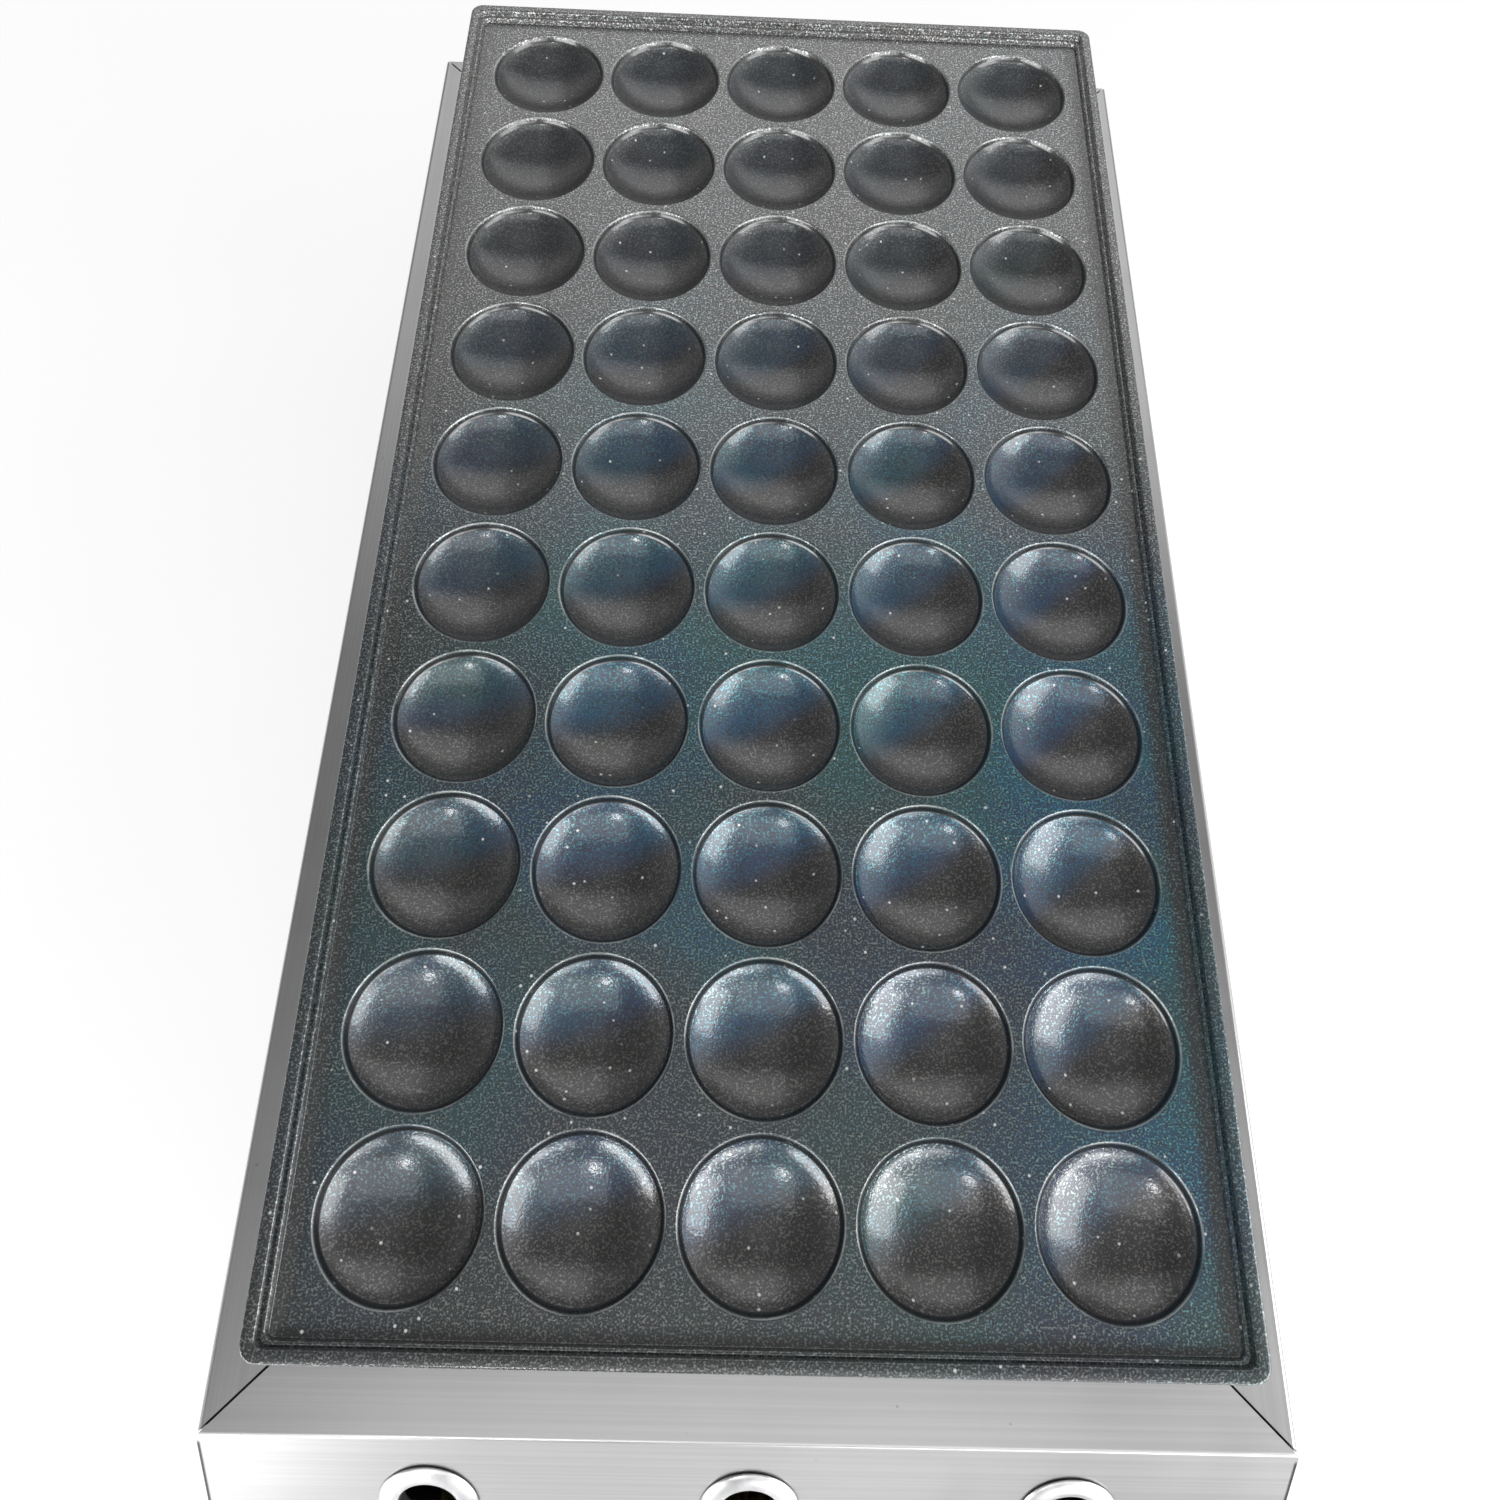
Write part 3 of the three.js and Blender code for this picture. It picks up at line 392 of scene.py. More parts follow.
class Shader(Nodes):
    """A new material's node tree."""

    def __init__(self, name):
        self.material = bpy.data.materials.new(name)
        self.material.use_nodes = True
        super().__init__(self.material.node_tree)
        self.surface = self.tree.nodes["Principled BSDF"]
        self.place = self.places["Object"]

    def set(self, **values):
        for key, value in values.items():
            self.put(self.surface.inputs[key.replace("_", " ")], value)

    def stretched(self, *scale):
        made = self.node("ShaderNodeMapping")
        self.put(made.inputs["Vector"], self.place)
        self.put(made.inputs["Scale"], scale)
        return made.outputs[0]

    def noise(self, scale, detail=2.0, vector=None, rough=0.5, distort=0.0):
        made = self.node("ShaderNodeTexNoise")
        values = {"Vector": vector or self.place, "Scale": scale, "Detail": detail, "Roughness": rough,
                  "Distortion": distort}
        for key, value in values.items():
            self.put(made.inputs[key], value)
        return made.outputs["Fac"]

    def dots(self, scale, core, rim, strength):
        """Small round dots, one in about every tenth cell."""
        cells = self.node("ShaderNodeTexVoronoi")
        self.put(cells.inputs["Vector"], self.place)
        self.put(cells.inputs["Scale"], scale)
        chosen = self.map(self.split(cells.outputs["Color"])[0], 0.9, 0.92, smooth=False)
        return self.times(self.map(cells.outputs["Distance"], core, rim, strength, 0.0), chosen)

    def mix(self, share, a, b, blend="MIX"):
        made = self.node("ShaderNodeMix", data_type="RGBA", blend_type=blend)
        for index, value in ((0, share), (6, a), (7, b)):
            self.put(made.inputs[index], value)
        return made.outputs[2]

    def bump(self, height, distance, strength):
        made = self.node("ShaderNodeBump")
        for key, value in (("Strength", strength), ("Distance", distance), ("Height", height)):
            self.put(made.inputs[key], value)
        return made.outputs[0]


def grey(level):
    return (level, level, level, 1)


def shaded(color, factor):
    return [c * factor for c in color] + [1]


def brushed(name, scale, level, rough, dark=0.91, blotch=0.14, seam=False):
    """Brushed sheet steel. scale is the grain's fineness along x, y and z: low along the grain."""
    s = Shader(name)
    grain = s.noise(1.0, 2.0, s.stretched(*scale))
    cloud = s.noise(9.0, 3.0, distort=0.4)
    smear = s.noise(26.0, 4.0, distort=0.8)
    base = s.mix(s.map(grain, 0.32, 0.68), grey(level * dark), (level, level, level * 1.005, 1))
    base = s.mix(s.map(cloud, 0.42, 0.66, 0.0, blotch), base, grey(level * 1.35))
    base = s.mix(s.map(smear, 0.56, 0.74, 0.0, blotch), base, grey(level * 0.72))
    base = s.mix(s.dots(210.0, 0.06, 0.12, 0.5), base, grey(level * 0.5))
    if seam:
        # the dark joint where the front and rear panels end against the side panels
        x, _, z = s.split(s.place)
        end = s.map(s.math("ABSOLUTE", x), (HOUSING_X - 1.2) * MM, (HOUSING_X - 0.5) * MM, 0.0, 0.9)
        below = s.map(z, (FLANGE_Z - 2.5) * MM, (FLANGE_Z - 1.2) * MM, 1.0, 0.0)
        base = s.mix(s.times(end, below), base, grey(0.03))
    s.set(Base_Color=base, Metallic=1.0, Roughness=s.scaled(smear, 0.12, rough - 0.06))
    s.set(Normal=s.bump(grain, 0.00004, 0.12))
    return s.material


def plain_steel(name, color, rough, stain=(0.5, 0.45, 0.38), stained=0.25):
    """Mill-finish or plated metal with soft stains and rubbed marks."""
    s = Shader(name)
    cloud = s.noise(38.0, 5.0, rough=0.6)
    grain = s.noise(900.0, 2.0)
    base = s.mix(s.map(cloud, 0.35, 0.7), shaded(color, 0.78), shaded(color, 1))
    tint = [c * t for c, t in zip(color, stain)] + [1]
    base = s.mix(s.map(s.noise(9.0, 3.0, distort=0.8), 0.5, 0.75, 0.0, stained), base, tint)
    base = s.mix(s.map(grain, 0.3, 0.7, 0.0, 0.3), base, shaded(color, 0.7))
    s.set(Base_Color=base, Metallic=1.0, Roughness=s.map(cloud, 0.3, 0.7, rough - 0.08, rough + 0.1))
    s.set(Normal=s.bump(s.plus(s.times(cloud, 0.6), grain), 0.00005, 0.4))
    return s.material


def moulded(name, color, rough, fine=2600.0):
    """Moulded plastic or rubber: low mottle, fine texture and paler rubbed places."""
    s = Shader(name)
    cloud = s.noise(60.0, 4.0)
    grain = s.noise(fine, 2.0)
    base = s.mix(s.map(cloud, 0.3, 0.7), shaded(color, 0.75), shaded(color, 1.25))
    base = s.mix(s.map(grain, 0.5, 0.8, 0.0, 0.25), base, shaded(color, 2.2))
    s.set(Base_Color=base, Roughness=s.map(cloud, 0.3, 0.7, rough - 0.06, rough + 0.08))
    s.set(Normal=s.bump(grain, 0.00004, 0.5))
    return s.material


def coated_plate():
    """Dark non-stick coating: fine pale fleck, a blue-green sheen that is a painted reflection, light lips
    that are a painted highlight, and a dark step inside them that is painted shade.
    """
    s = Shader("coated_plate")
    x, y, z = s.split(s.place)
    y = s.minus(y, MIDDLE_Y * MM)
    side, end = s.math("ABSOLUTE", x), s.math("ABSOLUTE", y)
    length = s.map(y, -GRID_Y * MM, GRID_Y * MM, smooth=False)
    patch = s.noise(11.0, 3.0, distort=0.5)

    # a point's place in its dish: across and along in pitches, and its radius in millimetres
    across = s.minus(s.math("FRACT", s.plus(s.math("DIVIDE", x, PITCH * MM), 0.5)), 0.5)
    along = s.minus(s.math("FRACT", s.math("DIVIDE", y, PITCH * MM)), 0.5)
    radius = s.times(s.math("SQRT", s.scaled(across, across, s.times(along, along))), PITCH)
    on_grid = s.times(s.map(side, (GRID_X - 0.1) * MM, (GRID_X + 0.1) * MM, 1.0, 0.0, smooth=False),
                      s.map(end, (GRID_Y - 0.1) * MM, (GRID_Y + 0.1) * MM, 1.0, 0.0, smooth=False))
    inside = s.times(s.map(radius, 21.5, 23.0, 1.0, 0.0), on_grid)
    outside = s.minus(1.0, inside)
    towards = s.plus(along, s.times(across, s.map(x, -0.06, 0.10, -0.30, -0.85, smooth=False)))
    far_side = s.map(towards, -0.07, 0.18)
    edge = s.math("MAXIMUM", s.map(side, (PLATE_X - 13) * MM, (PLATE_X - 7.5) * MM),
                  s.map(end, (PLATE_Y - 9.5) * MM, (PLATE_Y - 7) * MM))

    # a painted blue-green reflection, on the far side of each dish and in patches on the deck, strongest a
    # third of the way back, faint at the back, halved at the rim and on the left
    reach = s.ramp(length, (0.0, grey(0.55)), (0.15, grey(0.8)), (0.32, grey(1.0)), (0.55, grey(0.7)),
                   (0.78, grey(0.15)))
    right_side = s.times(s.map(x, 0.06, 0.13, 0.0, 0.4), s.map(y, -0.15, -0.01, 1.0, 0.1))
    painted_deck_sheen = s.times(outside, s.plus(s.map(patch, 0.35, 0.62, 0.25, 0.85), right_side))
    teal = s.math("MULTIPLY", s.plus(s.times(inside, far_side), painted_deck_sheen), reach, clamp=True)
    teal = s.times(teal, s.scaled(edge, -0.5, 1.0), s.map(x, -0.14, -0.03, 0.5, 1.0))
    cool = s.ramp(s.scaled(inside, -0.11, s.noise(16.0, 2.0, distort=0.6)),
                  (0.30, (0.014, 0.034, 0.105, 1)), (0.45, (0.004, 0.052, 0.115, 1)),
                  (0.58, (0.005, 0.072, 0.084, 1)), (0.75, (0.012, 0.078, 0.060, 1)))

    # the ground colour, made paler towards the back by painted light and darkened at the foot of the rim by
    # painted shade
    base = s.mix(teal, (0.014, 0.013, 0.012, 1), cool)
    base = s.mix(s.map(s.noise(42.0, 4.0), 0.35, 0.7, 0.0, 0.3), base, grey(0.024))
    # painted light: the deck outside the dishes gets paler towards the back
    painted_back_light = s.times(s.map(y, -0.06, 0.26), outside)
    base = s.mix(s.times(painted_back_light, 0.9), base, (0.075, 0.075, 0.074, 1))
    # painted shade in the corner where the deck meets the rim
    foot = s.times(edge, s.map(z, (DECK_Z + 0.2) * MM, (DECK_Z + 1.2) * MM, 1.0, 0.0))
    base = s.mix(s.times(foot, 0.8), base, grey(0.006))

    # the fleck: dark pits, pale mica and a few white dots. The mica's colour also carries painted light: a
    # blue fringe and a pale painted highlight on the far side of the dishes, paler flecks towards the back,
    # and darker flecks in the dishes as painted shade
    grain, coarse = s.noise(1500.0, 1.0), s.noise(760.0, 2.0)
    mica = s.map(s.scaled(coarse, 0.25, s.times(grain, 0.75)), 0.51, 0.63)
    # fewer pale flecks in the painted shade at the foot of the rim
    mica = s.times(mica, s.scaled(foot, -0.5, 1.0))
    warm = s.map(s.noise(1150.0, 0.0), 0.4, 0.6)
    # painted reflection on the mica: a blue fringe across each dish, turning pale at its far edge in the
    # front rows
    fringe = s.ramp(towards, (0.0, (0.03, 0.16, 0.36, 1)), (0.14, (0.05, 0.28, 0.42, 1)),
                    (0.30, (0.10, 0.40, 0.46, 1)))
    outer = s.times(s.map(towards, 0.2, 0.42), s.map(x, -0.12, 0.09, 0.35, 1.0),
                    s.map(y, -0.22, -0.06, 1.0, 0.0))
    bright = s.mix(inside, s.mix(warm, (0.05, 0.27, 0.38, 1), (0.11, 0.33, 0.33, 1)),
                   s.mix(outer, fringe, (0.50, 0.60, 0.60, 1)))
    pale = s.mix(teal, s.mix(warm, (0.23, 0.25, 0.25, 1), (0.27, 0.24, 0.23, 1)), bright)
    # painted light and shade on the mica: paler towards the back rows, darker inside the dishes, and darkest
    # on their far side
    painted_row_light = s.ramp(length, (0.0, grey(0.95)), (0.45, grey(1.4)), (1.0, grey(2.5)))
    pale = s.mix(1.0, pale, s.mix(inside, painted_row_light, s.mix(far_side, grey(0.7), grey(0.58))), "MULTIPLY")
    base = s.mix(s.map(coarse, 0.46, 0.66, 0.0, 0.8), base, grey(0.003))
    base = s.mix(mica, base, pale)
    base = s.mix(s.dots(330.0, 0.10, 0.2, 0.85), base, (0.75, 0.76, 0.75, 1))

    # each dish's lip, lightened in patches as a painted highlight, the dark step inside it as painted shade,
    # and a few long scratches
    lip_radius, step_radius, wall_radius = 23.4, 22.55, 22.6
    lip = s.times(s.map(s.off(radius, lip_radius), 0.1, 0.36, 1.0, 0.0), on_grid)
    step = s.times(s.map(s.off(radius, step_radius), 0.15, 0.75, 1.0, 0.0), on_grid)
    lip_highlight_patchiness = s.map(s.noise(70.0, 3.0), 0.35, 0.65, 0.15, 0.8)
    base = s.mix(s.times(lip, lip_highlight_patchiness), base, (0.40, 0.42, 0.41, 1))
    base = s.mix(s.times(step, 0.9), base, (0.003, 0.003, 0.004, 1))
    scratch = s.noise(1.0, 2.0, s.stretched(900.0, 60.0, 60.0), distort=1.4)
    line = s.times(s.map(scratch, 0.74, 0.8), s.map(s.noise(19.0, 2.0), 0.62, 0.7))
    base = s.mix(s.times(line, 0.5), base, (0.4, 0.41, 0.4, 1))

    shine = s.map(s.scaled(coarse, 0.5, s.times(patch, 0.5)), 0.3, 0.7, 0.24, 0.36)
    s.set(Base_Color=base, Roughness=shine, Metallic=s.times(mica, 0.95))
    s.set(IOR=1.5, Coat_Weight=1.0, Coat_Roughness=0.15, Coat_IOR=1.6)
    # the cast texture, smoothed on the steep wall so that its bright line stays crisp
    height = s.plus(s.times(grain, 0.5), s.times(coarse, 0.6))
    wall = s.times(s.map(s.off(radius, wall_radius), 0.5, 1.1, 1.0, 0.0), on_grid)
    height = s.times(height, s.scaled(wall, -0.9, 1.0))
    s.set(Normal=s.bump(height, 0.00026, 0.6), Coat_Normal=s.bump(height, 0.00018, 0.35))
    return s.material


# Finishes: a material, and the record's slot that it belongs to.
STAINLESS_X = brushed("stainless_across", (3.0, 1000.0, 1000.0), 0.57, 0.30, seam=True), "stainless"
STAINLESS_Y = brushed("stainless_along", (1000.0, 3.0, 1000.0), 0.53, 0.28), "stainless"
PLATE = coated_plate(), "coated_plate"
INNER = plain_steel("inner_steel", (0.50, 0.51, 0.52), 0.42), "inner_steel"
BURNER = plain_steel("burner_steel", (0.42, 0.40, 0.38), 0.5, (0.75, 0.6, 0.5), 0.6), "burner_steel"
ZINC = plain_steel("zinc_plate", (0.64, 0.66, 0.68), 0.36, (0.8, 0.78, 0.7), 0.2), "zinc_steel"
BRASS = plain_steel("brass", (0.70, 0.53, 0.25), 0.30, (0.7, 0.6, 0.5), 0.35), "brass"
RING = plain_steel("polished_steel", (0.78, 0.78, 0.79), 0.32, (0.9, 0.9, 0.9), 0.1), "polished_ring"
BLACK = moulded("black_plastic", (0.020, 0.020, 0.021), 0.42), "knob_plastic"
RUBBER = moulded("black_rubber", (0.028, 0.028, 0.028), 0.78, 1500.0), "foot_rubber"
WHITE = moulded("white_plastic", (0.72, 0.72, 0.70), 0.45), "knob_plastic"
PRINT = moulded("black_print", (0.022, 0.022, 0.024), 0.5), "dial_print"
DIAL = brushed("dial_satin", (1100.0, 1100.0, 3.0), 0.66, 0.4, 0.95, 0.03), "dial_print"

# Radius and depth under the deck, from a dish's rounded lip over its short steep step to its middle.
DISH = [(24.2, 0.0), (23.9, 0.0), (23.66, -0.05), (23.45, -0.17), (23.27, -0.36), (23.13, -0.65),
        (22.97, -1.05), (22.8, -1.45), (22.6, -1.85), (22.35, -2.25), (22.05, -2.62), (21.7, -2.99),
        (21.3, -3.36), (20.7, -3.87), (19.8, -4.55), (18.6, -5.33), (17.2, -6.13), (15.4, -7.00),
        (13.2, -7.87), (10.6, -8.70), (7.6, -9.39), (4.4, -9.84), (1.8, -9.98)]
DISH_DEPTH = 10.0
# Inset from the plate's outline and height over the deck: ledge, rim, outer wall and lower edge.
RIM = [(6.15, 0.0), (5.95, 0.12), (5.8, 0.45), (5.66, 1.2), (5.5, 1.65), (5.2, 1.95), (4.9, 2.0),
       (4.42, 1.98), (4.18, 1.85), (4.08, 2.05), (4.0, 2.6), (3.9, 3.3), (3.72, 3.72), (3.4, 3.94),
       (3.05, 4.0), (0.95, 4.0), (0.5, 3.93), (0.18, 3.72), (0.0, 3.3), (0.0, -14.2), (0.25, -14.75),
       (0.9, -15.0)]


def plate_mesh():
    """One casting: the deck with its dishes, the rim and the flat underside, with four locating pegs."""
    steps, corner_steps = 16, 8
    verts, faces, known = [], [], {}

    def vertex(x, y, z):
        key = (round(x, 4), round(y, 4), round(z, 4))
        if key not in known:
            known[key] = len(verts)
            verts.append((x, y + MIDDLE_Y, z))
        return known[key]

    def band(outer, inner):
        for i in range(len(outer)):
            j = (i + 1) % len(outer)
            add_face(faces, (outer[i], outer[j], inner[j], inner[i]))

    def loop(half_x, half_y, radius, z):
        """Points round a rounded rectangle, as many as round the grid of dishes plus its corners."""
        found = []
        for quarter in range(4):
            turn = quarter * math.pi / 2
            count = (COLUMNS if quarter % 2 else ROWS) * steps
            reach, half = (half_y, half_x) if quarter % 2 else (half_x, half_y)
            half -= radius
            points = [(reach, -half + 2 * half * i / count) for i in range(count + 1)]
            for k in range(1, corner_steps):
                arc = k * math.pi / 2 / corner_steps
                points.append((reach - radius + radius * math.cos(arc), half + radius * math.sin(arc)))
            cos, sin = math.cos(turn), math.sin(turn)
            found += [(u * cos - v * sin, u * sin + v * cos) for u, v in points]
        return [vertex(x, y, z) for x, y in found]

    half = PITCH / 2
    side = [-half + PITCH * i / steps for i in range(steps)]
    square = [(half, t) for t in side] + [(-t, half) for t in side]
    square += [(-half, -t) for t in side] + [(t, -half) for t in side]
    turns = [2 * math.pi * i / len(square) - math.pi / 4 for i in range(len(square))]
    for column in range(COLUMNS):
        for row in range(ROWS):
            cx, cy = (column - (COLUMNS - 1) / 2) * PITCH, (row - (ROWS - 1) / 2) * PITCH
            last = [vertex(cx + x, cy + y, DECK_Z) for x, y in square]
            for radius, depth in DISH:
                ring = [vertex(cx + radius * math.cos(a), cy + radius * math.sin(a), DECK_Z + depth)
                        for a in turns]
                band(last, ring)
                last = ring
            middle = vertex(cx, cy, DECK_Z - DISH_DEPTH)
            faces.extend([last[i], last[(i + 1) % len(last)], middle] for i in range(len(last)))

    last = loop(GRID_X, GRID_Y, 0.0, DECK_Z)
    for inset, height in RIM:
        ring = loop(PLATE_X - inset, PLATE_Y - inset, max(5.0 - inset, 2.4), DECK_Z + height)
        band(ring, last)
        last = ring
    faces.append(list(dict.fromkeys(last))[::-1])

    peg_x = FIRE_X - SHEET - GAP - PLATE_PEG
    peg_y = FIRE_Y - SHEET - 2 * GAP - PLATE_PEG
    profile = [(0, -5), (PLATE_PEG - 0.8, -5), (PLATE_PEG - 0.2, -4.7), (PLATE_PEG, -4), (PLATE_PEG, 1),
               (0, 1)]
    pegs = [turned(profile, 24, along_z(sx * peg_x, MIDDLE_Y + sy * peg_y, PLATE_UNDER_Z))
            for sx in (-1, 1) for sy in (-1, 1)]
    return merged([(verts, faces), *pegs])


# Housing
def mitre_cutter(sx, sy, leaves_sides):
    """Cuts a flange along the diagonal of the corner (sx, sy), half the joint's width back from it."""
    depth, joint = 4, 0.7
    reach = HOUSING_X - MITRE_X + OVER
    corner = (sx * HOUSING_X, MIDDLE_Y + sy * HOUSING_Y)
    outer = (corner[0] + sx * OVER, corner[1] + sy * OVER)
    inner = (corner[0] - sx * reach, corner[1] - sy * reach)
    width, back = 2 * (reach + OVER), joint / 2 * math.sqrt(2)
    away = (inner[0] + sx * width, inner[1]) if leaves_sides else (inner[0], inner[1] + sy * width)
    shift = (sx * back, 0) if leaves_sides else (0, sy * back)
    outline = [(x - shift[0], y - shift[1]) for x, y in (outer, inner, away)]
    return extruded(outline, FLANGE_Z - depth, FLANGE_Z + OVER, run_z)


def vent_cutters(count, middle, z, wall, frame_of):
    """Two rows of slots through a wall, count in each, centred on middle and z."""
    pitch, rows, half_length, radius = 56, (-7, 7), 20, 2.5
    shapes = []
    for i in range(count):
        for row in rows:
            outline = slot_outline(middle + (i - (count - 1) / 2) * pitch, z + row, half_length, radius, 8)
            shapes.append(extruded(outline, wall - OVER, wall + OVER, frame_of))
    return shapes


def ring_place(x):
    """On the fascia's outer face, with local Z along its outward normal."""
    y = MIDDLE_Y - HOUSING_Y - RING_DOWN * math.sin(SLOPE)
    z = FLANGE_Z - RING_DOWN * math.cos(SLOPE)
    return Matrix.Translation((x, y, z)) @ Matrix.Rotation(math.pi / 2 - SLOPE, 4, "X")


def front_panel_mesh():
    bend = HALF * math.tan((math.pi / 2 - SLOPE) / 2)
    foot = HALF * math.tan(SLOPE / 2)
    line = [(MIDDLE_Y - MITRE_Y, FLANGE_Z - HALF), (MIDDLE_Y - HOUSING_Y + bend, FLANGE_Z - HALF),
            (FRONT_Y + HALF, FASCIA_FOOT_Z - foot), (FRONT_Y + HALF, BASE_Z)]
    sheet = make_mesh("front_sheet", *extruded(folded_outline(line, 1.3), -HOUSING_X, HOUSING_X, run_x))
    cuts = [mitre_cutter(-1, -1, True), mitre_cutter(1, -1, True)]
    for x in STATIONS.values():
        cuts.append(turned(rod(RING_BORE + RING_WALL + GAP, -OVER, OVER), 64, ring_place(x)))
        cuts.append(turned(rod(7, FRONT_Y - OVER, FRONT_Y + OVER), 48, along_y(x, VALVE_Z)))
    return cut(sheet, *cuts)


def side_panel_mesh(side):
    line = [(side * MITRE_X, FLANGE_Z - HALF), (side * (HOUSING_X - HALF), FLANGE_Z - HALF),
            (side * (HOUSING_X - HALF), BASE_Z)]
    sheet = make_mesh("side_sheet", *extruded(folded_outline(line, 1.1), INNER_FRONT_Y, INNER_REAR_Y, run_y))
    inward = SHEET + GAP
    top_y = MIDDLE_Y - HOUSING_Y + inward * math.tan((math.pi / 2 - SLOPE) / 2)
    top_z, above = FLANGE_Z - inward, FLANGE_Z + OVER
    foot_y, foot_z = FRONT_Y + inward, FASCIA_FOOT_Z - inward * math.tan(SLOPE / 2)
    rise = (top_z - foot_z) / (top_y - foot_y)
    lead_y, lead_z = foot_y - OVER, foot_z - OVER * rise
    front = extruded([(lead_y, lead_z), (top_y, top_z), (top_y, above), (lead_y, above)],
                     -HOUSING_X - OVER, HOUSING_X + OVER, run_x)
    vents = vent_cutters(8, MIDDLE_Y, BASE_Z + 26, side * HOUSING_X, run_x)
    return cut(sheet, front, mitre_cutter(side, -1, False), mitre_cutter(side, 1, False), *vents)


def rear_panel_mesh():
    line = [(MIDDLE_Y + MITRE_Y, FLANGE_Z - HALF), (REAR_Y - HALF, FLANGE_Z - HALF), (REAR_Y - HALF, BASE_Z)]
    sheet = make_mesh("rear_sheet", *extruded(folded_outline(line, 1.3), -HOUSING_X, HOUSING_X, run_x))
    inlet = turned(rod(6.5 + GAP, REAR_Y - OVER, REAR_Y + OVER), 48, along_y(INLET_X, MANIFOLD_Z))
    vents = vent_cutters(4, 0, HEAD_Z, REAR_Y, run_y)
    return cut(sheet, mitre_cutter(-1, 1, True), mitre_cutter(1, 1, True), inlet, *vents)


def peep_ring(x):
    """Flared bright ring with a sleeve through the fascia."""
    sleeve, lip = RING_BORE + RING_WALL, 15.0
    profile = [(RING_BORE, -4), (sleeve, -4), (sleeve, GAP), (lip - 0.4, GAP), (lip, 0.55),
               (lip - 0.05, 0.75), (lip - 0.5, 1.05), (13.4, 1.5), (12.0, 1.85), (10.9, 2.0), (10.1, 1.98),
               (9.5, 1.8), (9.05, 1.4), (8.82, 0.8), (RING_BORE, 0.0)]
    return turned(profile, 72, ring_place(x))


# Knobs, cocks and burners
def knob_mesh(x):
    """Skirt, round body and a bevelled grip bar, turned about the cock's axis."""
    place = along_y(x, VALVE_Z)
    back, body_top, top = KNOB_BACK_Y, KNOB_FRONT_Y + 7, KNOB_FRONT_Y + 0.15
    foot = back - 4
    profile = [(0, back), (22.6, back), (23, back - 0.4), (23, back - 3.2), (22.4, back - 3.9),
               (21.2, back - 4.1), (20.9, back - 4.6), (19.3, body_top + 1.2), (18.6, body_top + 0.3),
               (17.4, body_top), (0, body_top)]
    outline = [(-4.5, foot), (4.5, foot), (4.5, body_top), (4.1, top + 1.0), (3.3, top + 0.2), (2.6, top),
               (-2.6, top), (-3.3, top + 0.2), (-4.1, top + 1.0), (-4.5, body_top)]
    grip = extruded([(x + u, y) for u, y in outline], VALVE_Z - 17, VALVE_Z + 17, run_z)
    whole = fused(make_mesh("knob_body", *turned(profile, 72, place)), grip)
    return cut(whole, turned(rod(3.3, back - 15, back + OVER), 32, place))


def dial_marks(x):
    """Plain marks round a dial: a dot at the top for shut, and an arc that grows to full at the right."""
    front = DIAL_BACK_Y - 1
    low, high = front - 0.12, front + 0.2
    dot = turned(rod(1.3, low, high), 24, along_y(x, VALVE_Z + 27.3))
    steps, start, sweep, arc_radius = 24, 68, 70, 27.2
    inner, outer = [], []
    for k in range(steps + 1):
        angle = math.radians(start - sweep * k / steps)
        half = (0.5 + 2.6 * k / steps) / 2
        for points, radius in ((outer, arc_radius + half), (inner, arc_radius - half)):
            points.append((x + math.cos(angle) * radius, VALVE_Z + math.sin(angle) * radius))
    return merged([dot, extruded(outer + inner[::-1], low, high, run_y)])


def hexagon(radius, start, end, place):
    """Hexagon bar across its corners, with the corners turned off at both ends."""
    chamfer = 0.2 * radius
    profile = [(0, start), (0.89 * radius, start), (1.1 * radius, start + chamfer),
               (1.1 * radius, end - chamfer), (0.89 * radius, end), (0, end)]
    bar = make_mesh("hexagon", *turned(rod(radius, start, end), 6, place))
    return boolean(bar, [turned(profile, 48, place)], "INTERSECT")


def thread(radius, start, end, pitch=1.2, depth=0.5):
    """Profile points of a thread's ridges, from start to end."""
    count = int((end - start) / pitch)
    points = []
    for i in range(count):
        y = start + i * pitch
        points += [(radius - depth, y), (radius, y + pitch / 2)]
    return [*points, (radius - depth, start + count * pitch), (radius - depth, end)]


def cock_mesh(x):
    """Cock body with a nose and a boss on the manifold, bored for its spindle and its jet."""
    place = along_y(x, VALVE_Z)
    profile = [(0, NOSE_Y), (5.5, NOSE_Y), (5.5, VALVE_FRONT_Y), (10, VALVE_FRONT_Y), (10, VALVE_REAR_Y),
               (6.5, VALVE_REAR_Y), (6.5, VALVE_TAIL_Y), (0, VALVE_TAIL_Y)]
    boss = turned(rod(7, MANIFOLD_Z + 9 + GAP, VALVE_Z), 40, along_z(x, MANIFOLD_Y))
    whole = fused(make_mesh("cock", *turned(profile, 48, place)), boss)
    return cut(whole, turned(rod(SPINDLE + GAP, NOSE_Y - OVER, NOSE_Y + SPINDLE_REACH + GAP), 32, place),
               turned(rod(STEM + GAP, VALVE_TAIL_Y - STEM_DEPTH - GAP, VALVE_TAIL_Y + OVER), 32, place))


def jet_mesh(x):
    place = along_y(x, VALVE_Z)
    foot, seat = VALVE_TAIL_Y - STEM_DEPTH, VALVE_TAIL_Y + GAP
    profile = [(0, foot), (STEM - 0.4, foot), (STEM, foot + 0.5), (STEM, seat + 1), (3.0, seat + 2),
               (3.0, JET_HEX_Y), (2.9, JET_HEX_Y + 0.5), (2.2, JET_TIP_Y), (0, JET_TIP_Y)]
    whole = fused(hexagon(5.5, seat, JET_HEX_Y, place), turned(profile, 32, place))
    return cut(whole, turned(rod(0.8, foot - OVER, JET_TIP_Y + OVER), 20, place))


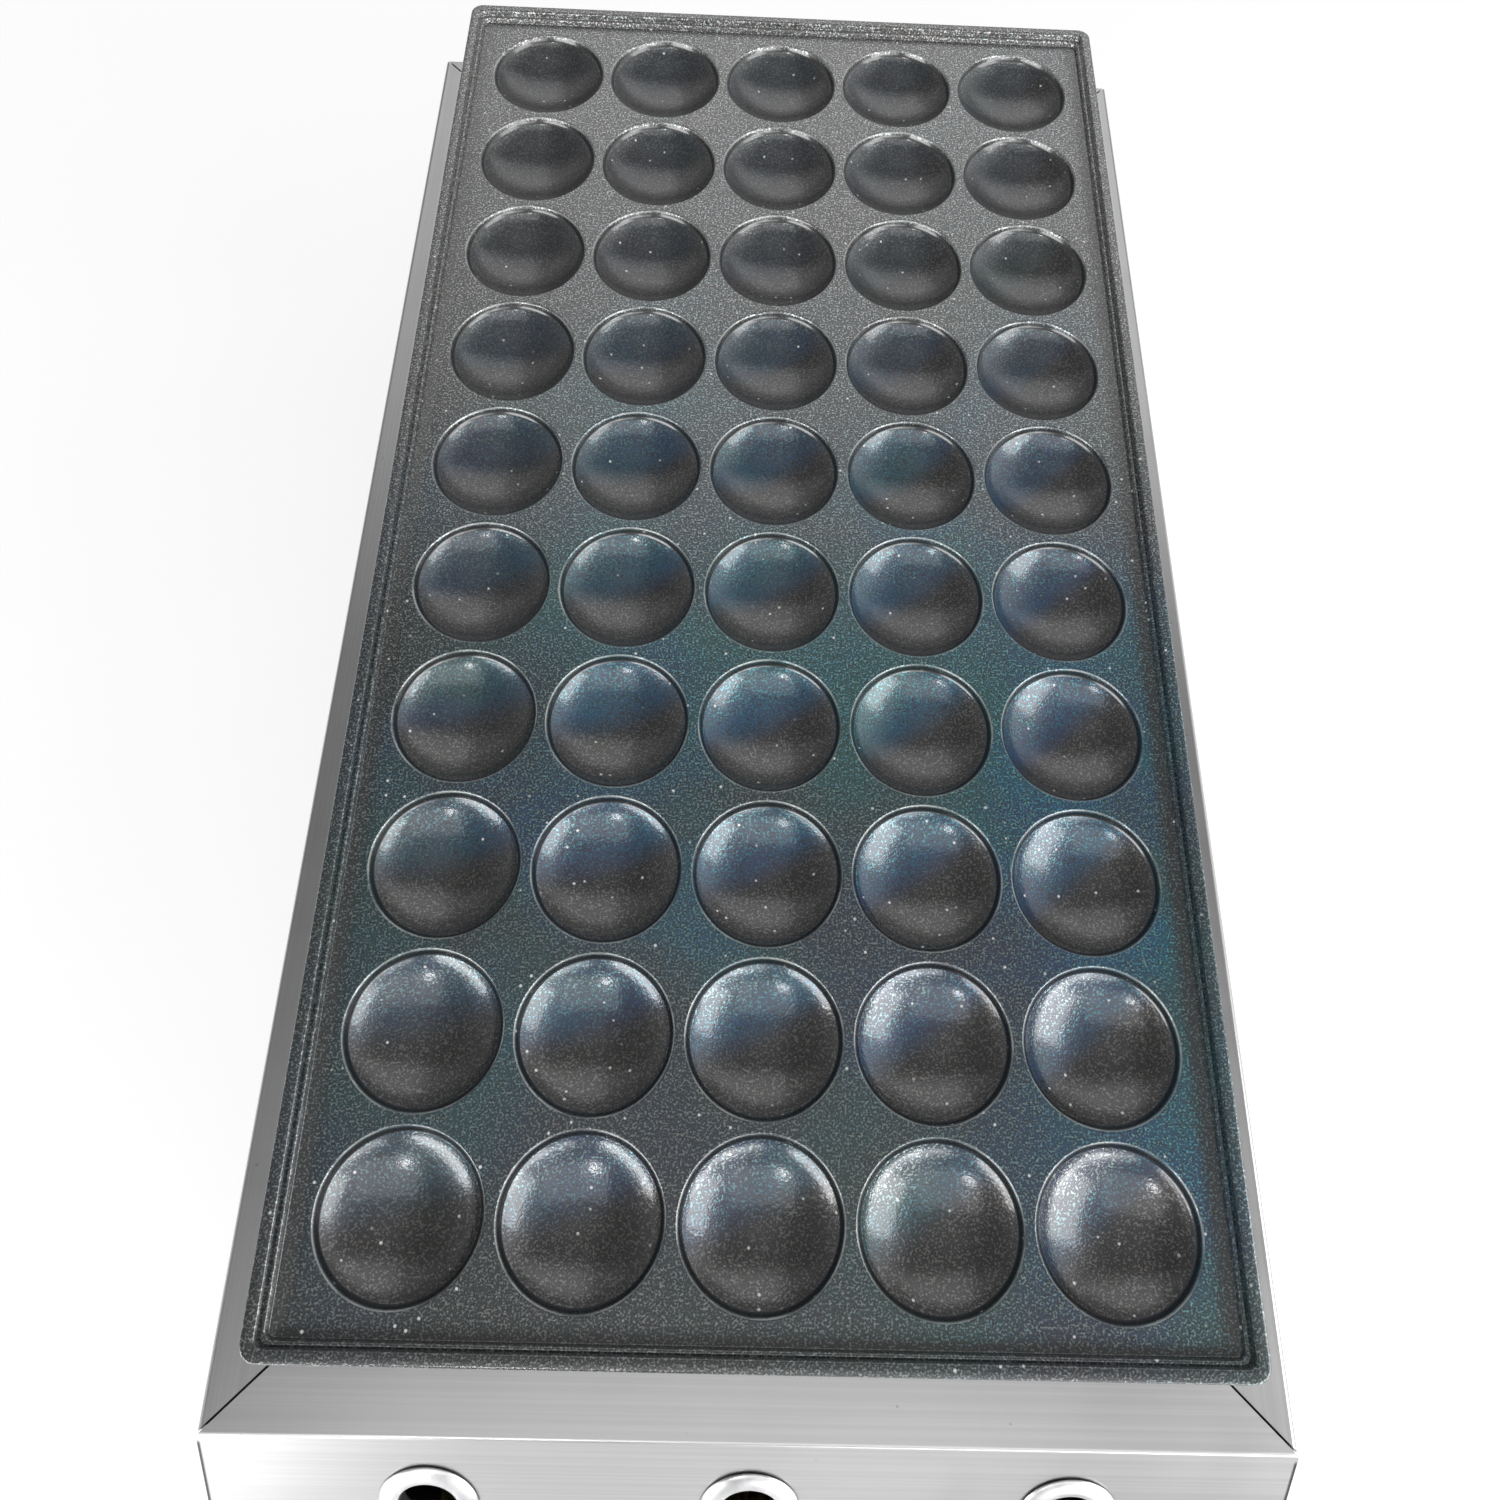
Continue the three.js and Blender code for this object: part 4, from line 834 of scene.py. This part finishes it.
def neck_path(x, start_y):
    """Straight from the bell, then an easy rise to the head."""
    bend_y, end_y, steps = MOUTH_Y + 18, HEAD_FRONT_Y + 10, 18
    path = [(x, start_y, VALVE_Z)]
    for k in range(steps + 1):
        t = k / steps
        ahead = 1.5 * t * (1 - t) ** 2 + 1.5 * t * t * (1 - t) + t ** 3
        up = 3 * t * t * (1 - t) + t ** 3
        path.append((x, bend_y + (end_y - bend_y) * ahead, VALVE_Z + (HEAD_Z - VALVE_Z) * up))
    return path


def burner_mesh(x):
    """Bell mouth, swan neck and a straight head with slotted ports, hollow all through."""
    head_bore, neck, neck_bore = 13.5, 11, 9.5
    ports, port_pitch, port_half_length, port_radius = 15, 28, 8, 1.5
    bell_end = MOUTH_Y + 10
    head_place, bell_place, path = along_y(x, HEAD_Z), along_y(x, VALVE_Z), neck_path(x, bell_end)
    head = [(0, HEAD_FRONT_Y), (HEAD_RADIUS - 1, HEAD_FRONT_Y), (HEAD_RADIUS, HEAD_FRONT_Y + 1),
            (HEAD_RADIUS, HEAD_REAR_Y - 1), (HEAD_RADIUS - 1, HEAD_REAR_Y), (0, HEAD_REAR_Y)]
    bell = [(0, MOUTH_Y), (16, MOUTH_Y), (15.2, MOUTH_Y + 2), (12.6, MOUTH_Y + 6.5), (neck, bell_end),
            (neck, bell_end + 1.5), (0, bell_end + 1.5)]
    bell_bore = [(0, MOUTH_Y - OVER), (14.5, MOUTH_Y - OVER), (14.5, MOUTH_Y), (13.7, MOUTH_Y + 2),
                 (11.1, MOUTH_Y + 6.5), (neck_bore, bell_end), (neck_bore, bell_end + 1.5),
                 (0, bell_end + 1.5)]
    body = fused(make_mesh("burner_body", *turned(head, 48, head_place)), swept_tube(path, neck, 32),
                 turned(bell, 48, bell_place))
    for bore in (turned(rod(head_bore, HEAD_FRONT_Y + 1.5, HEAD_REAR_Y - 1.5), 48, head_place),
                 swept_tube(path, neck_bore, 32), turned(bell_bore, 48, bell_place)):
        body = cut(body, bore)
    cuts = []
    for i in range(ports):
        y = (HEAD_FRONT_Y + HEAD_REAR_Y) / 2 + (i - ports // 2) * port_pitch
        outline = slot_outline(x, y, port_half_length, port_radius, 6, tall=True)
        cuts.append(extruded(outline, HEAD_Z + 6.8, HEAD_Z + 20, run_z))
    return cut(body, *cuts)


# Feet, screws and the gas inlet
def cross_recess(radius, face, inward, place):
    """Two crossed slots sunk into a screw head's face; inward is the signed depth."""
    low, high = sorted((face - inward * 0.2, face + inward))
    slots = []
    for half_x, half_y in ((radius, 0.16 * radius), (0.16 * radius, radius)):
        verts, faces = block((-half_x, -half_y, low), (half_x, half_y, high))
        slots.append(([place @ Vector(v) for v in verts], faces))
    return slots


def foot_mesh(node):
    """Rubber foot: tapered sides with two grip grooves, a rounded sole and a socket for its screw."""
    low, high = node_box(node)
    middle = (low + high) / 2
    bore, socket, deep = 3.3, 7.5, 13
    profile = [(socket + 0.5, low.z), (13.2, low.z), (13.8, 0.35), (14.1, 1.0), (14.35, 3.2), (13.9, 3.6),
               (13.9, 4.4), (14.5, 4.8), (14.8, 7.2), (14.35, 7.6), (14.35, 8.4), (14.95, 8.8), (16.5, 21.5),
               (16.9, 23.0), (16.9, 24.4), (16.4, high.z), (bore, high.z), (bore, deep), (socket, deep),
               (socket, low.z + 0.5)]
    return turned(profile, 56, along_z(middle.x, middle.y))


def foot_screw_mesh(node):
    low, high = node_box(node)
    middle = (low + high) / 2
    place = along_z(middle.x, middle.y)
    seat, inside = low.z + 5, BASE_Z + BASE_SHEET
    profile = [(0, low.z), (3.2, low.z + 0.05), (4.8, low.z + 0.5), (5.7, low.z + 1.5), (6, low.z + 2.8),
               (6, seat), (3, seat), (3, inside), *thread(3, inside, high.z - 0.6, 1.0, 0.4), (0, high.z)]
    screw = make_mesh("screw", *turned(profile, 32, place))
    return cut(screw, *cross_recess(3.2, low.z, 2.4, place))


def panel_screws():
    """Small pan-head screws that hold the rear panel, as one mesh."""
    work = bmesh.new()
    for x in (-HOUSING_X + 10, 0, HOUSING_X - 10):
        for z in (BASE_Z + 8, FLANGE_Z - 12):
            place = along_y(x, z)
            profile = [(0, -3), (1.8, -3), (1.8, 0.05), (3.4, 0.05), (3.5, 0.5), (3.2, 1.2), (2.4, 1.7),
                       (1.2, 1.95), (0, 2)]
            screw = make_mesh("screw", *turned([(radius, REAR_Y + y) for radius, y in profile], 28, place))
            work.from_mesh(cut(screw, *cross_recess(2.0, REAR_Y + 2, -1.1, place)))
    result = bpy.data.meshes.new("screws")
    work.to_mesh(result)
    work.free()
    tidy_mesh(result)
    return result


def plug_mesh():
    place, face = along_x(MANIFOLD_Y, MANIFOLD_Z), MANIFOLD_X + GAP
    spigot = [(0, face - 8), (6.1, face - 8), (6.6, face - 7.5), (6.7, face - 7), (6.7, face + 1),
              (0, face + 1)]
    return fused(hexagon(11, face, node_box("manifold_plug")[1].x, place), turned(spigot, 40, place))


def elbow_mesh():
    """Forged elbow with a thickened band at each end."""
    high = node_box("inlet_elbow")[1]
    arms, bores = [], []
    for middle, face, place in ((INLET_X, high.x, along_x(MANIFOLD_Y, MANIFOLD_Z)),
                                (MANIFOLD_Y, high.y, along_y(INLET_X, MANIFOLD_Z))):
        back = middle - 7
        profile = [(0, back), (7.5, back), (8.8, back + 1.3), (8.8, face - 9), (10, face - 8),
                   (10, face - 0.5), (9.5, face), (0, face)]
        arms.append(turned(profile, 48, place))
        bores.append(turned(rod(5, middle, face + OVER), 40, place))
    body = fused(make_mesh("elbow", *arms[0]), arms[1])
    return cut(cut(body, bores[0]), bores[1])


def fitting_mesh():
    """Bulkhead fitting: hexagon collar inside, thread through the panel, and a barb for a hose."""
    low, high = node_box("inlet_fitting")
    place = along_y(INLET_X, MANIFOLD_Z)
    barb_start = REAR_Y + 11
    profile = [(0, INNER_REAR_Y - 4), (6.5, INNER_REAR_Y - 4), (6.5, INNER_REAR_Y),
               *thread(6.5, INNER_REAR_Y, barb_start - 1.2), (5.2, barb_start - 0.8)]
    for i in range(3):
        y = barb_start + 7 * i
        profile += [(5.4, y), (6.0, y + 0.5), (5.95, y + 1.0), (4.75, min(y + 6.6, high.y - 0.4))]
    profile += [(4.4, high.y), (0, high.y)]
    body = fused(hexagon(10, low.y, INNER_REAR_Y, place), turned(profile, 48, place))
    return cut(body, turned(rod(3, low.y - OVER, high.y + OVER), 32, place))


def nut_mesh():
    low, high = node_box("inlet_nut")
    place = along_y(INLET_X, MANIFOLD_Z)
    return cut(hexagon(11, low.y, high.y, place), turned(rod(6.8, low.y - OVER, high.y + OVER), 40, place))


# Assembly
def add(name, shape, finish, node=None, body="housing", edge=0.0, smooth=35):
    """Makes a piece of a mesh or a shape, riding on a body and standing for a CAD node, if any."""
    material, slot = finish
    mesh = shape if isinstance(shape, bpy.types.Mesh) else make_mesh(name, *shape, smooth)
    mesh.name = name
    mesh.materials.clear()
    mesh.materials.append(material)
    piece = linked(name, mesh)
    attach(piece, body)
    if node:
        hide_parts(node)
    if edge:
        bevel(piece, edge)
    return piece


add("coated_bake_plate", plate_mesh(), PLATE, "bake_plate", "plate", smooth=60)
flat_faces(add("front_housing_panel", front_panel_mesh(), STAINLESS_X, "front_panel"))
flat_faces(add("left_housing_panel", side_panel_mesh(-1), STAINLESS_Y, "left_side_panel"))
flat_faces(add("right_housing_panel", side_panel_mesh(1), STAINLESS_Y, "right_side_panel"))
flat_faces(add("rear_housing_panel", rear_panel_mesh(), STAINLESS_X, "rear_panel"))

for side, x in STATIONS.items():
    axis, cock = along_y(x, VALVE_Z), f"cock_{side}"
    add(f"lighting_ring_{side}", peep_ring(x), RING, f"peep_ring_{side}", smooth=50)
    disc = [(7, DIAL_BACK_Y), (7, DIAL_BACK_Y - 1), (30.7, DIAL_BACK_Y - 1), (31, DIAL_BACK_Y - 0.7),
            (31, DIAL_BACK_Y)]
    add(f"dial_disc_{side}", turned(disc, 96, axis), DIAL, f"dial_plate_{side}")
    add(f"dial_marks_{side}", dial_marks(x), PRINT)
    add(f"turning_knob_{side}", knob_mesh(x), BLACK, f"knob_{side}", cock, edge=0.35)
    pointer = block((x - 0.7, KNOB_FRONT_Y, VALVE_Z + 1), (x + 0.7, KNOB_FRONT_Y + 0.6, VALVE_Z + 16.2))
    add(f"knob_pointer_{side}", pointer, WHITE, body=cock, edge=0.1)
    spindle = turned(rod(SPINDLE, KNOB_BACK_Y - 15 + GAP, NOSE_Y + SPINDLE_REACH), 32, axis)
    add(f"cock_spindle_{side}", spindle, ZINC, f"spindle_{side}", cock, edge=0.2)
    add(f"gas_cock_{side}", cock_mesh(x), BRASS, f"valve_body_{side}", edge=0.4)
    add(f"gas_jet_{side}", jet_mesh(x), BRASS, f"jet_{side}")
    add(f"tube_burner_{side}", burner_mesh(x), BURNER, f"burner_{side}")

pipe = turned(tube(9, 7, -MANIFOLD_X, MANIFOLD_X), 48, along_x(MANIFOLD_Y, MANIFOLD_Z))
add("manifold_pipe", pipe, ZINC, "gas_manifold", edge=0.3)
for corner in ("front_left", "front_right", "rear_left", "rear_right"):
    foot, screw = f"foot_{corner}", f"foot_screw_{corner}"
    add(f"rubber_foot_{corner}", foot_mesh(foot), RUBBER, foot, smooth=40)
    add(f"cross_screw_{corner}", foot_screw_mesh(screw), ZINC, screw)
add("hexagon_plug", plug_mesh(), BRASS, "manifold_plug")
add("gas_elbow", elbow_mesh(), BRASS, "inlet_elbow")
inlet_low, inlet_high = node_box("inlet_pipe")
inlet = turned(tube(6, 5, inlet_low.y, inlet_high.y), 40, along_y(INLET_X, MANIFOLD_Z))
add("gas_inlet_pipe", inlet, ZINC, "inlet_pipe", edge=0.15)
add("barbed_fitting", fitting_mesh(), BRASS, "inlet_fitting")
add("panel_nut", nut_mesh(), BRASS, "inlet_nut")
add("rear_panel_screws", panel_screws(), ZINC)

# The CAD nodes that stay get their slot's material and a small bevel.
slots = {row["node"]: row["material_slot"] for row in frame["record"]["subparts"]}
carried = {slot: material for material, slot in (INNER, ZINC)}
for node, thing in frame["nodes"].items():
    if not thing.hide_render:
        thing.data.materials.clear()
        thing.data.materials.append(carried[slots[node]])
        bevel(thing, 0.3)


# Floor, light and camera
def floor_material():
    """Pale floor that the camera and gloss see as near white, with the object's soft shadow kept in it."""
    s = Shader("pale_floor")
    s.set(Base_Color=s.mix(s.map(s.noise(3.0, 3.0), 0.3, 0.7), grey(0.80), grey(0.83)), Roughness=0.9)
    rays = s.node("ShaderNodeLightPath").outputs
    seen = rays["Is Camera Ray"]
    mirrored = s.math("MAXIMUM", rays["Is Glossy Ray"], rays["Is Transmission Ray"])
    x, y, _ = s.split(s.place)
    right = s.times(s.map(x, 0.24, 0.36), s.map(y, -0.95, -0.75, 1.0, 0.0))
    share = s.scaled(seen, 0.45, s.times(mirrored, s.scaled(right, 0.2, 0.75)))
    level = s.scaled(s.times(right, s.minus(1.0, seen)), -0.7, s.scaled(seen, 0.3, 1.15))
    glow, blend = s.node("ShaderNodeEmission"), s.node("ShaderNodeMixShader")
    s.put(glow.inputs["Strength"], level)
    s.fill(blend.inputs, share, s.surface.outputs[0], glow.outputs[0])
    s.put(s.tree.nodes["Material Output"].inputs["Surface"], blend.outputs[0])
    return s.material


def studio_world():
    """Soft grey surroundings: paler low down and at the right, with a wide glow high at the back."""
    world = bpy.data.worlds.new("studio")
    bpy.context.scene.world = world
    world.use_nodes = True
    w = Nodes(world.node_tree)
    x, y, z = w.split(w.places["Generated"])
    level = w.ramp(z, (0.0, grey(0.95)), (0.08, grey(0.75)), (0.25, grey(0.55)), (0.8, grey(0.30)),
                   (0.93, grey(0.34)), (1.0, grey(0.50)))
    dimmed = w.times(level, w.map(y, 0.05, 0.75, 1.0, 0.6), w.map(x, -0.5, -0.1, 0.75, 1.0))
    glow = w.times(w.map(y, 0.40, 0.62, 0.0, 0.85), w.map(z, 0.30, 0.58), w.map(x, -0.34, -0.18, 0.35, 1.0))
    wall = w.map(w.scaled(y, -0.4, x), 0.33, 0.85, 0.0, 0.7)
    backdrop = w.node("ShaderNodeMix")
    w.put(backdrop.inputs[0], w.node("ShaderNodeLightPath").outputs["Is Camera Ray"])
    w.fill(backdrop.inputs[2:4], w.plus(w.plus(dimmed, glow), wall), 1.0)
    back = w.tree.nodes["Background"]
    w.put(back.inputs["Color"], grey(1.0))
    w.put(back.inputs["Strength"], backdrop.outputs[0])


def softbox(name, place, aim, size, radiance, matt=True):
    """An area lamp of that radiance, hidden from the camera; with matt False it shows only in gloss."""
    data = bpy.data.lights.new(name, "AREA")
    data.shape, data.size, data.size_y = "RECTANGLE", size[0], size[1]
    data.energy = radiance * math.pi * size[0] * size[1]
    lamp = linked(name, data)
    lamp.location = place
    lamp.rotation_euler = (Vector(aim) - Vector(place)).to_track_quat("-Z", "Y").to_euler()
    lamp.visible_camera, lamp.visible_diffuse = False, matt


floor_mesh = make_mesh("studio_floor", *block((-6000, -6000, -20), (6000, 6000, 0)))
floor_mesh.materials.append(floor_material())
floor = linked("studio_floor", floor_mesh)

studio_world()
BODY_MIDDLE, FRONT_MIDDLE = (0, 0, 0.2), (0, -0.15, 0.2)
softbox("key_softbox", (0.0, -0.95, 1.5), BODY_MIDDLE, (1.4, 0.9), 1.0)
softbox("right_softbox", (1.25, -0.62, 0.92), FRONT_MIDDLE, (1.1, 0.9), 3.6)
softbox("front_left_softbox", (-0.95, -1.13, 0.56), FRONT_MIDDLE, (1.3, 0.22), 7.0)
softbox("front_right_softbox", (0.42, -1.45, 0.66), FRONT_MIDDLE, (0.8, 0.3), 3.0)
softbox("spot_softbox", (-0.32, -1.05, 1.2), BODY_MIDDLE, (0.12, 0.12), 25.0)
softbox("low_left_strip", (-0.56, -1.35, 0.16), (-0.1, -0.3, 0.15), (0.2, 0.3), 1.5)
softbox("left_gloss_strip", (-0.95, -1.13, 0.56), FRONT_MIDDLE, (1.1, 0.5), 4.9, matt=False)
softbox("right_gloss_strip", (0.95, -1.10, 0.50), FRONT_MIDDLE, (1.1, 0.26), 4.5, matt=False)

# The camera was solved from the grid of dishes in the photograph.
CAMERA_AXES = ((0.99938276, -0.03077168, -0.01694706),
               (0.02256549, 0.93204077, -0.36165011),
               (0.02692394, 0.36104446, 0.93215986))
camera_data = bpy.data.cameras.new("camera")
camera_data.lens, camera_data.sensor_width = 25.188, 36
camera_data.clip_start, camera_data.clip_end = 0.01, 50
camera = linked("camera", camera_data)
camera_spot = Vector((-12.092, MIDDLE_Y - 207.835, DECK_Z + 318.175)) * MM
camera.matrix_world = Matrix.Translation(camera_spot) @ Matrix(CAMERA_AXES).to_4x4()
bpy.context.scene.camera = camera
bpy.context.scene.view_settings.view_transform = "Standard"
